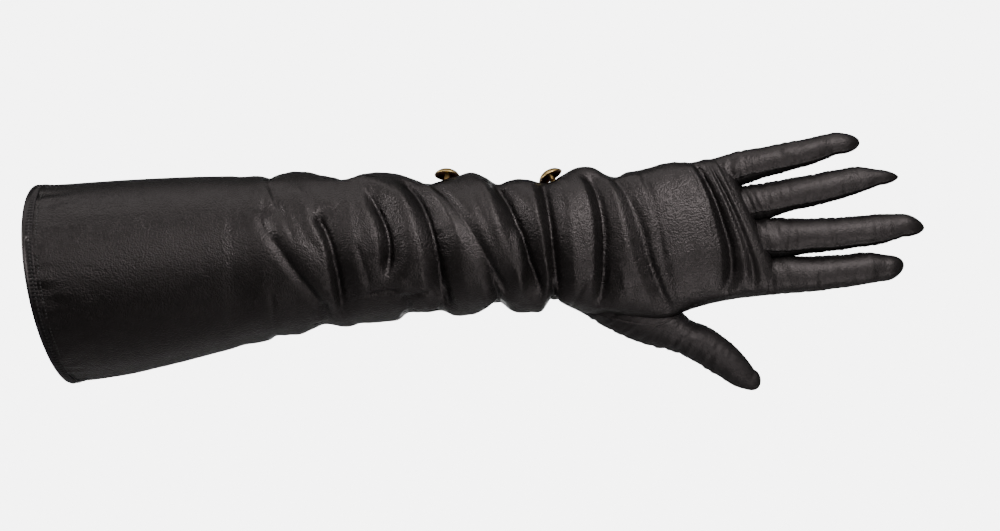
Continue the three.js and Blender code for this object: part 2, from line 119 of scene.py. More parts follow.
def oval(section, angle):
    """Points of oval sections, at angles counted from the top toward the front."""
    power = 2 / section.get("square", 2)
    up = np.sign(np.cos(angle)) * np.abs(np.cos(angle)) ** power
    back = -np.sign(np.sin(angle)) * np.abs(np.sin(angle)) ** power
    x = ((section["top_x"] + section["bottom_x"]) + up * (section["top_x"] - section["bottom_x"])) / 2
    z = ((section["top_z"] + section["bottom_z"]) + up * (section["top_z"] - section["bottom_z"])) / 2
    y = section["middle_y"] + back * section["depth"] / 2
    return np.stack([x + section.get("lean", 0) * back, y, z], axis=-1)


def section_middle(section):
    """The middle point of each section."""
    return np.stack([(section["top_x"] + section["bottom_x"]) / 2, section["middle_y"],
                     (section["top_z"] + section["bottom_z"]) / 2], axis=-1)


def plain_sleeve(along, angle):
    """The sleeve and hand before they are folded."""
    return oval(read_between(SLEEVE, SLEEVE_PLACES, along), angle)


def unit(vectors):
    """The same directions, each 1 long."""
    return vectors / np.maximum(np.linalg.norm(vectors, axis=-1, keepdims=True), 1e-9)


def sleeve_directions(along, angle):
    """The skin's outward direction, and its direction toward the fingers."""
    turn = 0.01
    forward = unit(plain_sleeve(along + 1, angle) - plain_sleeve(along - 1, angle))
    around = plain_sleeve(along, angle + turn) - plain_sleeve(along, angle - turn)
    return unit(np.cross(around, forward)), forward


print("sleeve sections:", len(SLEEVE_PLACES))

# %% [markdown]
# ## Folds
#
# Slouched leather makes rolls that lean over sharp creases. Noise can't place them, and a sculpt can't
# be read, so each fold is one row: three places on the unrolled sleeve, by the distance along it and
# the angle round it (0 on top, 90 in front, 180 underneath, 270 behind). The line is the roll's lip.
# On the fingers' side the leather sinks gently to a shelf at the lip. On the cuff's side it dives
# steeply into a valley and comes up again over its reach. The lip can be pulled over the valley.
# Ridges stand up, creases are plain valleys, and the outline table shapes the upper and lower edges.

# %% Folds and creases
FOLD_COLUMNS = "along_a round_a along_b round_b along_c round_c shelf steep gentle pull dive reach"
FRONT_FOLDS = [
    [103, 56, 119, 89, 143, 146, 2.2, 2.8, 13, 0.2, 2.8, 5],
    [130, 60, 142, 88, 147, 160, 3.0, 2.8, 12, 0.2, 4.6, 5],
    [155, 34, 169, 80, 166, 120, 3.8, 2.5, 11, 0.3, 5.8, 7],
    [166, -6, 189, 68, 195, 158, 4.6, 2.6, 12, 0.3, 6.8, 10],
    [192, 66, 195, 106, 198, 176, 3.6, 2.2, 5, 0.1, 4.8, 3],
    [176, -6, 210, 78, 229, 151, 3.6, 3.1, 12, 0.2, 5.4, 8],
    [214, -14, 233, 78, 245, 152, 5.0, 2.6, 10, 0.3, 7.4, 10],
    [242, -8, 249, 86, 252, 150, 4.6, 2.6, 9, 0.3, 6.6, 7],
    [262, -4, 275, 82, 270, 158, 3.6, 3.1, 10, 0.2, 5.4, 7],
    [269, -12, 292, 73, 309, 174, 2.0, 3.4, 12, 0.2, 3.4, 10],
    [291, 0, 301, 78, 306, 144, 0.9, 2.5, 8, 0.1, 1.5, 4],
    [311, 4, 328, 84, 320, 160, 0.6, 1.9, 5, 0.1, 1.0, 3],
    [321, -6, 335, 80, 326, 160, 2.2, 2.6, 4, 0.2, 4.6, 7],
    [336, 20, 341.6, 86, 337, 158, 0.3, 1.9, 1.5, 0.0, 2.6, 5],
]
BACK_FOLDS = [
    [130, 190, 117, 268, 100, 345, 3, 2.6, 11, 0.2, 4.5, 9],
    [150, 186, 137, 265, 122, 348, 3.6, 2.4, 9, 0.2, 5.5, 9],
    [163, 190, 152, 240, 147, 300, 2.1, 2.2, 7, 0.2, 3.2, 6],
    [174, 184, 161, 267, 147, 350, 4.1, 2.2, 9, 0.2, 6.2, 8],
    [186, 190, 176, 250, 168, 320, 2.3, 2.2, 6, 0.2, 3.5, 6],
    [200, 184, 186, 265, 172, 346, 4.1, 2.2, 9, 0.2, 6.2, 8],
    [216, 190, 204, 262, 188, 344, 3.8, 2.2, 9, 0.2, 5.8, 8],
    [233, 184, 221, 265, 208, 346, 3.8, 2.4, 9, 0.2, 5.8, 8],
    [247, 186, 235, 265, 218, 340, 4.1, 2.2, 8, 0.2, 6.2, 8],
    [257, 184, 250, 262, 243, 346, 3.6, 2, 7, 0.2, 5.5, 6],
    [270, 194, 266, 262, 258, 350, 3, 2.4, 8, 0.2, 4.5, 8],
    [292, 205, 282, 268, 270, 340, 2.1, 2.6, 10, 0.2, 3.2, 8],
    [318, 215, 304, 270, 292, 345, 1.3, 2.2, 8, 0.2, 2, 7],
    [328, 205, 317, 268, 306, 350, 1.4, 2, 7, 0.2, 2.1, 5],
]
FOLDS = table(FOLD_COLUMNS, FRONT_FOLDS + BACK_FOLDS)

RIDGES = table("along_a round_a along_b round_b along_c round_c height before after", [
    [99, 2, 104, 34, 110, 62, 1.4, 7, 10],
    [141, 8, 161, 37, 182, 62, 2.0, 8, 9],
    [210, 6, 216, 68, 222, 120, 1.4, 8, 8],
    [227, 76, 232, 103, 229, 148, 1.8, 6, 4],
    [118, 24, 126, 60, 134, 90, 1.0, 6, 6],
    [106, 62, 122, 92, 144, 142, 2.6, 7, 12],
    [186, 24, 206, 72, 222, 124, 2.8, 9, 12],
])

OUTLINE = table("along top bottom", [
    [91, -0.8, 0.0],
    [100, -0.8, 0.2],
    [106, -1.6, 0.4],
    [109, 0.0, -0.4],
    [114, 1.4, 0.4],
    [121, 1.9, 1.8],
    [127, 1.3, 0.2],
    [133, -0.1, -1.2],
    [139, -1.2, 0.2],
    [142, -2.0, 1.2],
    [146, -1.2, 1.8],
    [151, 0.8, 1.0],
    [157, 1.9, 1.7],
    [164, 2.0, 2.0],
    [170, 1.4, 1.8],
    [175, 0.1, -1.0],
    [181, -1.8, -0.8],
    [185, -3.2, -0.4],
    [192.5, -0.6, -0.4],
    [198, 1.0, 2.4],
    [207, 3.5, 2.9],
    [214, 1.0, 0.6],
    [220, -2.2, -2.4],
    [226, 0.0, 2.2],
    [230, 0.6, 4.0],
    [236, 0.2, 4.0],
    [242, -1.4, 3.6],
    [247.5, -0.9, -4.4],
    [251, 0.6, -1.6],
    [258, 3.0, 0.9],
    [263, 3.4, 2.0],
    [268, 2.4, 1.8],
    [274, -1.4, 0.2],
    [279, -2.9, 0.2],
    [284, -1.2, 0.6],
    [295, -0.6, 0.6],
    [308, 0.6, 0.4],
    [322, -0.8, 0.0],
    [334, 0.0, 0.0],
])

CREASES = table("along_a round_a along_b round_b along_c round_c depth before after", [
    [110, 112, 110, 137, 111, 192, 1.2, 3, 3],
    [105, 22, 114, 59, 125, 92, 1.8, 5, 7],
    [128, 28, 130, 52, 130, 70, 1.0, 4, 4],
    [150, 84, 154, 101, 158, 124, 1.6, 4, 6],
    [152, 129, 163, 126, 173, 126, 2.2, 3, 2.5],
    [172, 66, 173, 93, 174, 122, 0.9, 2, 2],
    [172, 139, 182, 131, 191, 130, 2.2, 3, 2.5],
    [133, 126, 136, 150, 136, 205, 3.2, 7, 7],
    [173, 128, 176, 150, 177, 200, 3.6, 7, 8],
    [193, 120, 192, 146, 190, 200, 2.6, 6, 7],
    [213, 102, 219, 135, 222, 190, 4.6, 7, 9],
    [245, 85, 247, 125, 248, 200, 5.6, 7, 6],
    [212, 22, 213, 52, 215, 80, 1.4, 1.5, 3],
    [171, -4, 180, 15, 187, 32, 1.5, 5, 5],
    [264, 120, 260, 138, 256, 170, 1.4, 3, 3],
    [325, 128, 327, 145, 328, 172, 0.8, 2, 2],
    [330, 128, 332, 145, 334, 174, 0.8, 2, 2],
    [335, 128, 337, 144, 338, 172, 0.8, 2, 2],
])

FOLD_PIECES = 14
FOLD_FADE = (-0.04, 0.26)
GENTLE_CURVE, REACH_CURVE, CREASE_CURVE = 1.6, 1.5, 2
FOLD_BLEND, RIDGE_BLEND, CREASE_BLEND = 0.7, 0.5, 0.6
FOLDS_FROM, FOLDS_FULL = 92, 110
HAND_END = 343
FOLD_STOP = 1.2
FOLD_RISE = table("along rise", [[80, 1.2], [120, 2.2], [180, 3.0], [255, 3.0], [290, 1.4], [350, 0.8]])
OUTLINE_WIDTH = (0.86, 0.985)


def fold_line(folds, i):
    """A fold's middle line through its three places."""
    t = np.linspace(0, 1, FOLD_PIECES + 1)
    shares = ((1 - t) * (1 - 2 * t), 4 * t * (1 - t), t * (2 * t - 1))
    along = sum(share * folds[name][i] for share, name in zip(shares, ("along_a", "along_b", "along_c")))
    round_ = sum(share * folds[name][i] for share, name in zip(shares, ("round_a", "round_b", "round_c")))
    return along, np.radians(round_)


def measure_fold(folds, i, along, angle, radius):
    """How far each point lies from a fold's line, on which side, and how strong the fold is there."""
    line_along, line_round = fold_line(folds, i)
    nearest = np.full(along.shape, 1e3)
    side = np.ones(along.shape)
    place = np.zeros(along.shape)
    for k in range(FOLD_PIECES):
        step_along = line_along[k + 1] - line_along[k]
        step_round = (line_round[k + 1] - line_round[k]) * radius
        off_along = along - line_along[k]
        turn = angle - line_round[k]
        off_round = np.arctan2(np.sin(turn), np.cos(turn)) * radius
        share = (off_along * step_along + off_round * step_round) / (step_along**2 + step_round**2)
        share = np.clip(share, 0, 1)
        off_along = off_along - share * step_along
        off_round = off_round - share * step_round
        distance = np.hypot(off_along, off_round)
        closer = distance < nearest
        nearest = np.where(closer, distance, nearest)
        side = np.where(closer, np.sign(off_along * step_round - off_round * step_along), side)
        place = np.where(closer, (k + share) / FOLD_PIECES, place)
    strength = smoothstep(np.minimum(place, 1 - place), *FOLD_FADE)
    return nearest, side, strength


def smooth_max(a, b, blend):
    """The higher of two heights, with the corner between them rounded."""
    mix = np.maximum(blend - np.abs(a - b), 0) / blend
    return np.maximum(a, b) + mix**2 * blend / 4


def fold_reach(folds, i, reach, along):
    """The points that a fold can touch, by their distance along the sleeve."""
    line_along, _ = fold_line(folds, i)
    return (along > line_along.min() - reach) & (along < line_along.max() + reach)


def fading(distance, reach, curve=1):
    """1 on a fold's line, falling to 0 at its reach."""
    return np.clip(1 - distance / reach, 0, 1) ** curve


def fold_field(along, angle):
    """How far the leather stands off its plain form, how far its lips are pulled, how slouched it is."""
    section = read_between(SLEEVE, SLEEVE_PLACES, along)
    radius = (np.abs(section["top_z"] - section["bottom_z"]) + section["depth"]) / 4
    raised = np.zeros(along.shape)
    sunk = np.zeros(along.shape)
    pull = np.zeros(along.shape)
    for i in range(len(FOLDS["shelf"])):
        fold = {name: column[i] for name, column in FOLDS.items()}
        near = fold_reach(FOLDS, i, max(fold["gentle"], fold["steep"] + fold["reach"]), along)
        distance, side, strength = measure_fold(FOLDS, i, along[near], angle[near], radius[near])
        risen = fold["shelf"] * fading(distance, fold["gentle"], GENTLE_CURVE)
        down = np.clip(distance / fold["steep"], 0, 1)
        step = (fold["dive"] - fold["shelf"]) * down * (2 - down)
        past = fading(distance - fold["steep"], fold["reach"], REACH_CURVE)
        before = np.where(distance < fold["steep"], fold["shelf"] + step, fold["dive"] * past)
        low = np.where(side > 0, risen, before) * strength
        sunk[near] = smooth_max(sunk[near], low, FOLD_BLEND)
        lip = fading(distance, fold["steep"]) * strength
        pull[near] = np.maximum(pull[near], fold["pull"] * lip)
    for i in range(len(RIDGES["height"])):
        near = fold_reach(RIDGES, i, max(RIDGES["before"][i], RIDGES["after"][i]), along)
        distance, side, strength = measure_fold(RIDGES, i, along[near], angle[near], radius[near])
        width = np.where(side > 0, RIDGES["after"][i], RIDGES["before"][i])
        crest = smoothstep(1 - distance / width, 0, 1) * strength
        raised[near] = smooth_max(raised[near], RIDGES["height"][i] * crest, RIDGE_BLEND)
    for i in range(len(CREASES["depth"])):
        near = fold_reach(CREASES, i, max(CREASES["before"][i], CREASES["after"][i]), along)
        distance, side, strength = measure_fold(CREASES, i, along[near], angle[near], radius[near])
        width = np.where(side > 0, CREASES["after"][i], CREASES["before"][i])
        valley = fading(distance, width, CREASE_CURVE) * strength
        sunk[near] = smooth_max(sunk[near], CREASES["depth"][i] * valley, CREASE_BLEND)
    ending = 1 - smoothstep(along, HAND_END - FOLD_STOP, HAND_END)
    slouched = smoothstep(along, FOLDS_FROM, FOLDS_FULL) * ending
    height = slouched * (raised + read_table(FOLD_RISE, along)["rise"]) - sunk * ending
    outline = read_table(OUTLINE, along)
    at_top = smoothstep(np.cos(angle), *OUTLINE_WIDTH)
    at_bottom = smoothstep(-np.cos(angle), *OUTLINE_WIDTH)
    height = height * (1 - (at_top + at_bottom) * slouched)
    height = height + (outline["top"] * at_top + outline["bottom"] * at_bottom) * slouched
    pull = pull * (1 - at_top - at_bottom)
    return height, pull * slouched, slouched


print("folds:", len(FOLDS["shelf"]), "creases:", len(CREASES["depth"]))

# %% [markdown]
# ## Small wrinkles
#
# Between the folds real leather carries finer wrinkles that run along with them. Noise does this well,
# because none of them has to be in an exact place. It is stretched along the folds by reading it on the
# sleeve's own rows, which slant as the folds do. The sewn edge at the mouth adds small gathers.

# %% Wrinkles on the sleeve's rows
FOLD_SLANT = 24
SLANT_GROWS = (FOLDS_FROM - 20, FOLDS_FROM + 60)
SLANT_FADES = (HAND_END - 90, HAND_END)
LONG_HEIGHT, SHORT_HEIGHT = 0.28, 0.06
ON_THE_CUFF, UNDERNEATH, AMONG_FOLDS = 0.12, 0.45, 0.88
HEM_GATHER, HEM_FADE = 1.1, 12
WAVES = {
    "long": (1.6, 7, 0),
    "short": (3.4, 2.6, 40),
    "broad": (1.2, 26, 90),
    "hem": (12, 11, 60),
}


def noise_at(points):
    """Smooth noise at an array of points."""
    flat = points.reshape(-1, 3)
    values = np.array([noise.noise(Vector(point)) for point in flat])
    return values.reshape(points.shape[:-1])


def wave(name, row, angle):
    """Noise round the sleeve: a wave has its size round it, its length along it and its own start."""
    around, length, start = WAVES[name]
    return noise_at(np.stack([row / length + start, np.cos(angle) * around, np.sin(angle) * around],
                             axis=-1))


def slanted(row, angle):
    """Where a row crosses an angle: among the folds it slants along with them."""
    slant = FOLD_SLANT * smoothstep(row, *SLANT_GROWS) * (1 - smoothstep(row, *SLANT_FADES))
    return row - slant / 2 * np.cos(angle)


def small_wrinkles(row, angle, slouched):
    """Fine wrinkles, strongest among the folds, and short gathers beside the hem."""
    ridged = 1 - np.abs(wave("long", row, angle)) * 2.4
    height = LONG_HEIGHT * ridged * np.clip(wave("broad", row, angle) * 2 + 0.6, 0, 1)
    height = height + SHORT_HEIGHT * wave("short", row, angle)
    underneath = smoothstep(-np.cos(angle), -0.2, 0.7) * (1 - slouched)
    height = height * (ON_THE_CUFF + UNDERNEATH * underneath + AMONG_FOLDS * slouched)
    return height + HEM_GATHER * wave("hem", row, angle) * np.exp(-row / HEM_FADE)


print("wrinkle waves:", list(WAVES))

# %% [markdown]
# ## The sleeve and the hand
#
# The sleeve is a grid of rows and columns, laid over the sections and pushed out by the folds. The grid
# is about 1 mm wide among the folds, because a sharp crease needs points on both of its sides.

# %% Build the folded sleeve
SLEEVE_COLUMNS = 224
CUFF_ROW = 2.4
FOLD_ROW = 0.86
FINE_BEFORE = 8
KNUCKLE_STEPS = table("past tall deep", [
    [1.5, 0.99, 0.96],
    [3, 0.97, 0.88],
    [4.5, 0.94, 0.78],
    [6, 0.88, 0.62],
])


def turn_angles(count):
    """Angles once round, evenly spaced."""
    return np.arange(count) / count * 2 * np.pi


def folded_sleeve(rows, angles):
    """Points of the folded skin, and how high each one stands."""
    row, angle = np.meshgrid(rows, angles, indexing="ij")
    along = slanted(row, angle)
    out, forward = sleeve_directions(along, angle)
    height, pull, slouched = fold_field(along, angle)
    height = height + small_wrinkles(row, angle, slouched)
    points = plain_sleeve(along, angle) + out * height[..., None] - forward * pull[..., None]
    return points, height


def sleeve_rows():
    """Places of the rows: wide apart on the smooth cuff, close together among the folds."""
    cuff = np.arange(0, FOLDS_FROM - FINE_BEFORE, CUFF_ROW)
    folds = np.arange(FOLDS_FROM - FINE_BEFORE, HAND_END, FOLD_ROW)
    return np.concatenate([cuff, folds])


sleeve_points, sleeve_heights = folded_sleeve(sleeve_rows(), turn_angles(SLEEVE_COLUMNS))
print("sleeve grid:", sleeve_points.shape[:2])

# %% [markdown]
# ## From grids to pieces
#
# Every piece here starts as a grid of points, so one helper turns grids into faces and another turns
# points and faces into an object that rides on the glove and stands for its plain solid. Working in
# numpy and handing the mesh over once is much quicker than adding faces one by one.

# %% Helpers that make pieces
def grid_faces(rows, columns, start=0):
    """Quads between neighbouring rows of a grid that closes round on itself."""
    row, column = np.meshgrid(np.arange(rows - 1), np.arange(columns), indexing="ij")
    near = start + row * columns
    far = near + columns
    after = (column + 1) % columns
    return np.stack([near + column, near + after, far + after, far + column], axis=-1).reshape(-1, 4)


def fan_faces(ring_start, columns, middle, facing_back):
    """Triangles from a ring to a middle point."""
    column = np.arange(columns)
    after = (column + 1) % columns
    ends = [ring_start + column, ring_start + after]
    if facing_back:
        ends.reverse()
    return np.stack([*ends, np.full(columns, middle)], axis=-1)


def make_mesh(name, points, faces):
    """A mesh from points in millimetres and a list of face arrays."""
    mesh = bpy.data.meshes.new(name)
    corners = [face for group in faces for face in group.tolist()]
    mesh.from_pydata((points * MM).tolist(), [], corners)
    mesh.validate()
    mesh.shade_smooth()
    return mesh


def add_piece(name, mesh, slot, *nodes):
    """An object that rides on the glove and stands for the solids that are named."""
    piece = bpy.data.objects.new(name, mesh)
    bpy.context.scene.collection.objects.link(piece)
    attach(piece, "root")
    if nodes:
        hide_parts(*nodes)
    print(name, "faces:", len(mesh.polygons))
    return piece


def store_on_points(mesh, name, values):
    """Keeps one number for each point, for a material to read."""
    attribute = mesh.attributes.new(name, "FLOAT", "POINT")
    attribute.data.foreach_set("value", np.asarray(values, np.float32).ravel())


print("faces between 3 rows of 4 points:", len(grid_faces(3, 4)))

# %% [markdown]
# ## The leather's two sides
#
# The sleeve is one closed skin: the folded outside, the turned edge at the mouth and a plainer inside.
# The inside follows the deepest of the folds near it, so that it never breaks through a crease.

# %% The trank's closed skin
LEATHER = 1.2
INSIDE_SKIP = 4


def lowest_near(heights, reach):
    """The lowest value within a few rows and columns."""
    lowest = heights.copy()
    for step in range(1, reach + 1):
        for turn in (-step, step):
            lowest = np.minimum(lowest, np.roll(heights, turn, axis=1))
    spread = lowest.copy()
    for step in range(1, reach + 1):
        spread[step:] = np.minimum(spread[step:], lowest[:-step])
        spread[:-step] = np.minimum(spread[:-step], lowest[step:])
    return spread


def knuckle_rings():
    """The hand's last section, closed in short steps inside the finger roots."""
    angles = turn_angles(SLEEVE_COLUMNS)
    end = {name: np.full(angles.shape, value) for name, value in
           read_between(SLEEVE, SLEEVE_PLACES, np.array(HAND_END, float)).items()}
    centre = section_middle(end)[0]
    rings = []
    for past, tall, deep in zip(*KNUCKLE_STEPS.values()):
        ring = (oval(end, angles) - centre) * [tall, deep, tall] + centre
        rings.append(ring + [past, 0, 0])
    return np.array(rings)


def build_trank():
    """The sleeve and the hand: folded outside, turned edge, plain inside and knuckle cap."""
    rows = sleeve_rows()
    row, angle = np.meshgrid(rows, turn_angles(SLEEVE_COLUMNS), indexing="ij")
    out, _ = sleeve_directions(slanted(row, angle), angle)
    inside = plain_sleeve(slanted(row, angle), angle)
    inside = inside + out * (lowest_near(sleeve_heights, INSIDE_SKIP + 1) - LEATHER)[..., None]
    inside = inside[::INSIDE_SKIP]
    knuckles = knuckle_rings()
    outer = np.concatenate([sleeve_points, knuckles])
    count_out, count_in = len(outer), len(inside)
    tip = knuckles[-1].mean(axis=0) + [1, 0, 0]
    inner_tip = inside[-1].mean(axis=0)
    points = np.concatenate([outer.reshape(-1, 3), inside.reshape(-1, 3), [tip, inner_tip]])
    in_start = count_out * SLEEVE_COLUMNS
    tip_at = in_start + count_in * SLEEVE_COLUMNS
    outside_faces = grid_faces(count_out, SLEEVE_COLUMNS)
    inside_faces = grid_faces(count_in, SLEEVE_COLUMNS, in_start)[:, ::-1]
    column = np.arange(SLEEVE_COLUMNS)
    after = (column + 1) % SLEEVE_COLUMNS
    edge = np.stack([after, column, in_start + column, in_start + after], axis=-1)
    caps = [fan_faces((count_out - 1) * SLEEVE_COLUMNS, SLEEVE_COLUMNS, tip_at, False),
            fan_faces(tip_at - SLEEVE_COLUMNS, SLEEVE_COLUMNS, tip_at + 1, True)]
    mesh = make_mesh("trank_skin", points, [outside_faces, inside_faces, edge, *caps])
    # The stored heights make the leather's colour lighter on the ridges as rubbing and darker in the
    # creases as painted shade.
    knuckle_heights = np.zeros((len(knuckles), SLEEVE_COLUMNS))
    heights = np.concatenate([sleeve_heights, knuckle_heights]).ravel()
    store_on_points(mesh, "stand", np.concatenate([heights, np.zeros(len(points) - len(heights))]))
    return add_piece("trank_skin", mesh, "black_leather", "trank")


trank_skin = build_trank()

# %% [markdown]
# ## Fingers and thumb
#
# A finger is a tube of ovals too, but its columns have to follow the seams, because the strip between
# two fingers is another piece. So each row is divided at the seams first, and the columns are shared
# out between them. A seam stands up a little, and each stitch draws it in.

# %% Finger sections
FINGER_COLUMNS = "top_x top_z bottom_x bottom_z middle_y depth"
FINGERS = {
    "little": ([401.6, 5, 71.3], 2.0, table(FINGER_COLUMNS, [
        [318, 60, 324, 43, 0.5, 14],
        [338, 65.8, 341, 49.3, 0.5, 15.5],
        [357, 69.5, 358, 54.8, 1, 15.5],
        [375, 73, 377, 60, 2, 14.5],
        [388, 76, 390, 64.9, 3.4, 12],
    ])),
    "ring": ([421.0, 4.4, 53.8], 1.6, table(FINGER_COLUMNS, [
        [326, 46, 334, 28, 0, 15],
        [345, 49, 352, 32.2, -0.5, 17],
        [365, 52.5, 365.5, 36.5, 0, 17],
        [385, 56.2, 386, 41.2, 1, 15.5],
        [400, 58.7, 401, 45.8, 2, 13],
        [410, 57.6, 411, 49.6, 3, 10.5],
    ])),
    "middle": ([433.9, 4.0, 28.4], 1.75, table(FINGER_COLUMNS, [
        [330, 30, 336, 10, 0, 16],
        [352, 33, 356, 12.8, -1, 17.5],
        [365, 32.6, 366, 14, -0.8, 18],
        [373, 32.5, 373, 15.3, -0.5, 18],
        [395, 33.5, 395, 17.8, 0.5, 16.5],
        [412, 35, 413, 20.5, 1.6, 14],
        [422, 35.2, 423, 23.6, 2.6, 11.5],
    ])),
    "index": ([423.8, 4.4, 9.4], 1.9, table(FINGER_COLUMNS, [
        [328, 13, 334, -7, 1, 14],
        [350, 13.4, 354, -5.6, 0, 16.5],
        [363, 14.2, 364, -4.9, 0, 18],
        [371, 13.6, 372, -4.3, 0, 18],
        [390, 14.3, 390, -2.3, 1, 16.5],
        [405, 15.8, 405, 0, 2, 14.5],
        [414, 14.8, 414, 1.5, 3.2, 12],
    ])),
    "thumb": ([352.4, 13, -51.6], 2.1, table(FINGER_COLUMNS, [
        [282, 4, 258, -12, 5, 27],
        [298, -3, 272, -20.5, 6.5, 27],
        [309.4, -10.8, 290.4, -29.3, 7.5, 24],
        [317.5, -18.7, 308, -34, 8.5, 21.5],
        [327.6, -22.6, 319.3, -39.2, 9, 19],
        [336.8, -29.2, 328.4, -44.9, 10, 17.5],
        [344.8, -36.8, 337.6, -50.6, 11, 15.3],
        [349.6, -43.4, 344.8, -53.3, 12, 12.2],
    ])),
}
FINGER_ROW = 0.8
FINGER_SQUARE, THUMB_SQUARE = 2.4, 2.0
TIP_ROWS = 9
TIP_CLOSED = 0.985
TIP_BEND = 1.5


def finger_sections(name):
    """Sections of a finger from its root to its tip, close together where the tip rounds off."""
    tip, round_, rows = FINGERS[name]
    places = (rows["top_x"] + rows["bottom_x"]) / 2
    straight = np.arange(places[0], places[-1], FINGER_ROW)
    sections = read_between(rows, places, straight)
    last = {key: value[-1] for key, value in rows.items()}
    reach = tip[0] - places[-1]
    rounding = np.sin(np.linspace(0, TIP_CLOSED, TIP_ROWS) * np.pi / 2)
    share = (1 - rounding**round_) ** (1 / round_)
    middle_x = places[-1] + reach * rounding
    middle_z = (last["top_z"] + last["bottom_z"]) / 2
    middle_z = middle_z + (tip[2] - middle_z) * rounding**TIP_BEND
    half_x = (last["top_x"] - last["bottom_x"]) / 2 * share
    half_z = (last["top_z"] - last["bottom_z"]) / 2 * share
    ends = {
        "top_x": middle_x + half_x, "bottom_x": middle_x - half_x,
        "top_z": middle_z + half_z, "bottom_z": middle_z - half_z,
        "middle_y": last["middle_y"] + (tip[1] - last["middle_y"]) * rounding**TIP_BEND,
        "depth": last["depth"] * share,
    }
    whole = {key: np.concatenate([sections[key], ends[key]]) for key in ends}
    whole["square"] = np.full(len(whole["depth"]), THUMB_SQUARE if name == "thumb" else FINGER_SQUARE)
    return whole


print("fingers:", list(FINGERS))

# %% Seams on a finger and the columns between them
STRIP_START = 5.2
STRIP_END = 0.7
STRIP_REACH = 0.93
STRIP_ROLL = 3.9
TIP_ROLL = 3.0
LEAST_STRIP = 0.12
STRIP_TAPER = 0.8
STEEPEST = 0.9
STRIP_COLUMNS = 6
FACE_COLUMNS = 17
SEAM_SIDE = 0.06875
SEAM_SHARE = 0.2
SEAM_RISE = 0.5
STITCH_PITCH = 2.2
SMALL_DEPTH = 9


def strip_edges(sections, share):
    """Angles of the four seams: behind and before the top strip, before and behind the lower one."""
    half = STRIP_START + (STRIP_END - STRIP_START) * np.clip(share / STRIP_REACH, 0, 1) ** STRIP_TAPER
    roll = STRIP_ROLL + (TIP_ROLL - STRIP_ROLL) * share
    half_depth = sections["depth"] / 2
    wide = np.arcsin(np.clip((half + roll) / half_depth, -STEEPEST, STEEPEST))
    narrow = np.arcsin(np.clip((half - roll) / half_depth, -STEEPEST, STEEPEST))
    narrow = np.maximum(narrow, LEAST_STRIP - wide)
    return [-wide, narrow, np.pi - wide, np.pi + narrow]


def share_out(low, high, count):
    """Columns from one seam to the next, with one close to each seam."""
    span = (high - low)[:, None]
    beside = np.minimum(SEAM_SIDE, span * SEAM_SHARE)
    steps = np.linspace(0, 1, count - 1)[None, :]
    between = low[:, None] + beside + (span - 2 * beside) * steps
    return np.concatenate([low[:, None], between], axis=1)


def finger_angles(edges):
    """Angles of a finger's columns: strip, back, strip, palm."""
    top_strip = share_out(edges[0], edges[1], STRIP_COLUMNS + 2)
    back = share_out(edges[1], edges[2], FACE_COLUMNS + 2)
    low_strip = share_out(edges[2], edges[3], STRIP_COLUMNS + 2)
    palm = share_out(edges[3], edges[0] + 2 * np.pi, FACE_COLUMNS + 2)
    return np.concatenate([top_strip, back, low_strip, palm], axis=1)


def finger_grid(name, seams, wrinkle):
    """A finger's points. seams says which of its four seams are sewn."""
    sections = finger_sections(name)
    middle = section_middle(sections)
    steps = np.linalg.norm(np.diff(middle, axis=0), axis=1)
    length = np.concatenate([[0], np.cumsum(steps)])
    share = length / length[-1]
    edges = strip_edges(sections, share)
    angles = finger_angles(edges)
    spread = {key: np.repeat(value[:, None], angles.shape[1], axis=1)
              for key, value in sections.items()}
    points = oval(spread, angles)
    outward = unit(points - middle[:, None, :])
    size = np.minimum(1, sections["depth"] / SMALL_DEPTH)[:, None]
    height = wrinkle(length[:, None] + np.zeros(angles.shape), angles, share[:, None]) * size
    starts = np.cumsum([0, STRIP_COLUMNS + 2, FACE_COLUMNS + 2, STRIP_COLUMNS + 2])
    drawn_in = 0.78 + 0.22 * np.cos(length / STITCH_PITCH * 2 * np.pi)
    for seam, start in enumerate(starts):
        if seams[seam]:
            height[:, start] += SEAM_RISE * drawn_in * size[:, 0]
    return points + outward * height[..., None], height, starts, share


def hump(value, middle, width):
    """1 at the middle, falling smoothly to 0 on both sides."""
    return np.exp(-((value - middle) / width) ** 2)


def finger_wrinkle(seed, base_strength, under_strength=0.0):
    """Small wrinkles across a finger, strongest at its root and its joints, or under it as well."""
    def wrinkle(length, angles, share):
        ring = np.stack([length / 2.4, np.cos(angles) * 1.1 + seed * 7, np.sin(angles) * 1.1], axis=-1)
        broad = np.stack([length / 9 + 31, np.cos(angles) * 0.8 + seed * 3, np.sin(angles) * 0.8], axis=-1)
        joints = hump(share, 0.52, 0.07) + 0.8 * hump(share, 0.76, 0.05)
        under = hump(share, 0.5, 0.22) * np.clip(0.6 - np.cos(angles), 0, 1.4)
        strength = 0.10 + 0.22 * joints + base_strength * hump(share, 0.2, 0.12) + under_strength * under
        return strength * noise_at(ring) * 1.6 + 0.35 * noise_at(broad)
    return wrinkle


print("stitch pitch, mm:", STITCH_PITCH)

# %% Build the four fingers and the thumb
STRIP_SINK = 0.55


def closed_tube(points, start):
    """Faces of a tube with a cap at each end, and the two middle points."""
    rows, columns = points.shape[:2]
    middles = np.array([points[0].mean(axis=0), points[-1].mean(axis=0)])
    first = start + rows * columns
    faces = [grid_faces(rows, columns, start),
             fan_faces(start, columns, first, True),
             fan_faces(start + (rows - 1) * columns, columns, first + 1, False)]
    return middles, faces


def sunk_under_strips(points, sections, starts, seams):
    """The finger's own skin passes under the strips that are sewn over its sides."""
    middle = section_middle(sections)[:, None, :]
    sunk = points.copy()
    for first, used in ((0, seams[0]), (2, seams[2])):
        if used:
            span = slice(starts[first] + 1, starts[first] + STRIP_COLUMNS + 2)
            inward = unit(middle - points[:, span])
            sunk[:, span] = points[:, span] + inward * STRIP_SINK
    return sunk


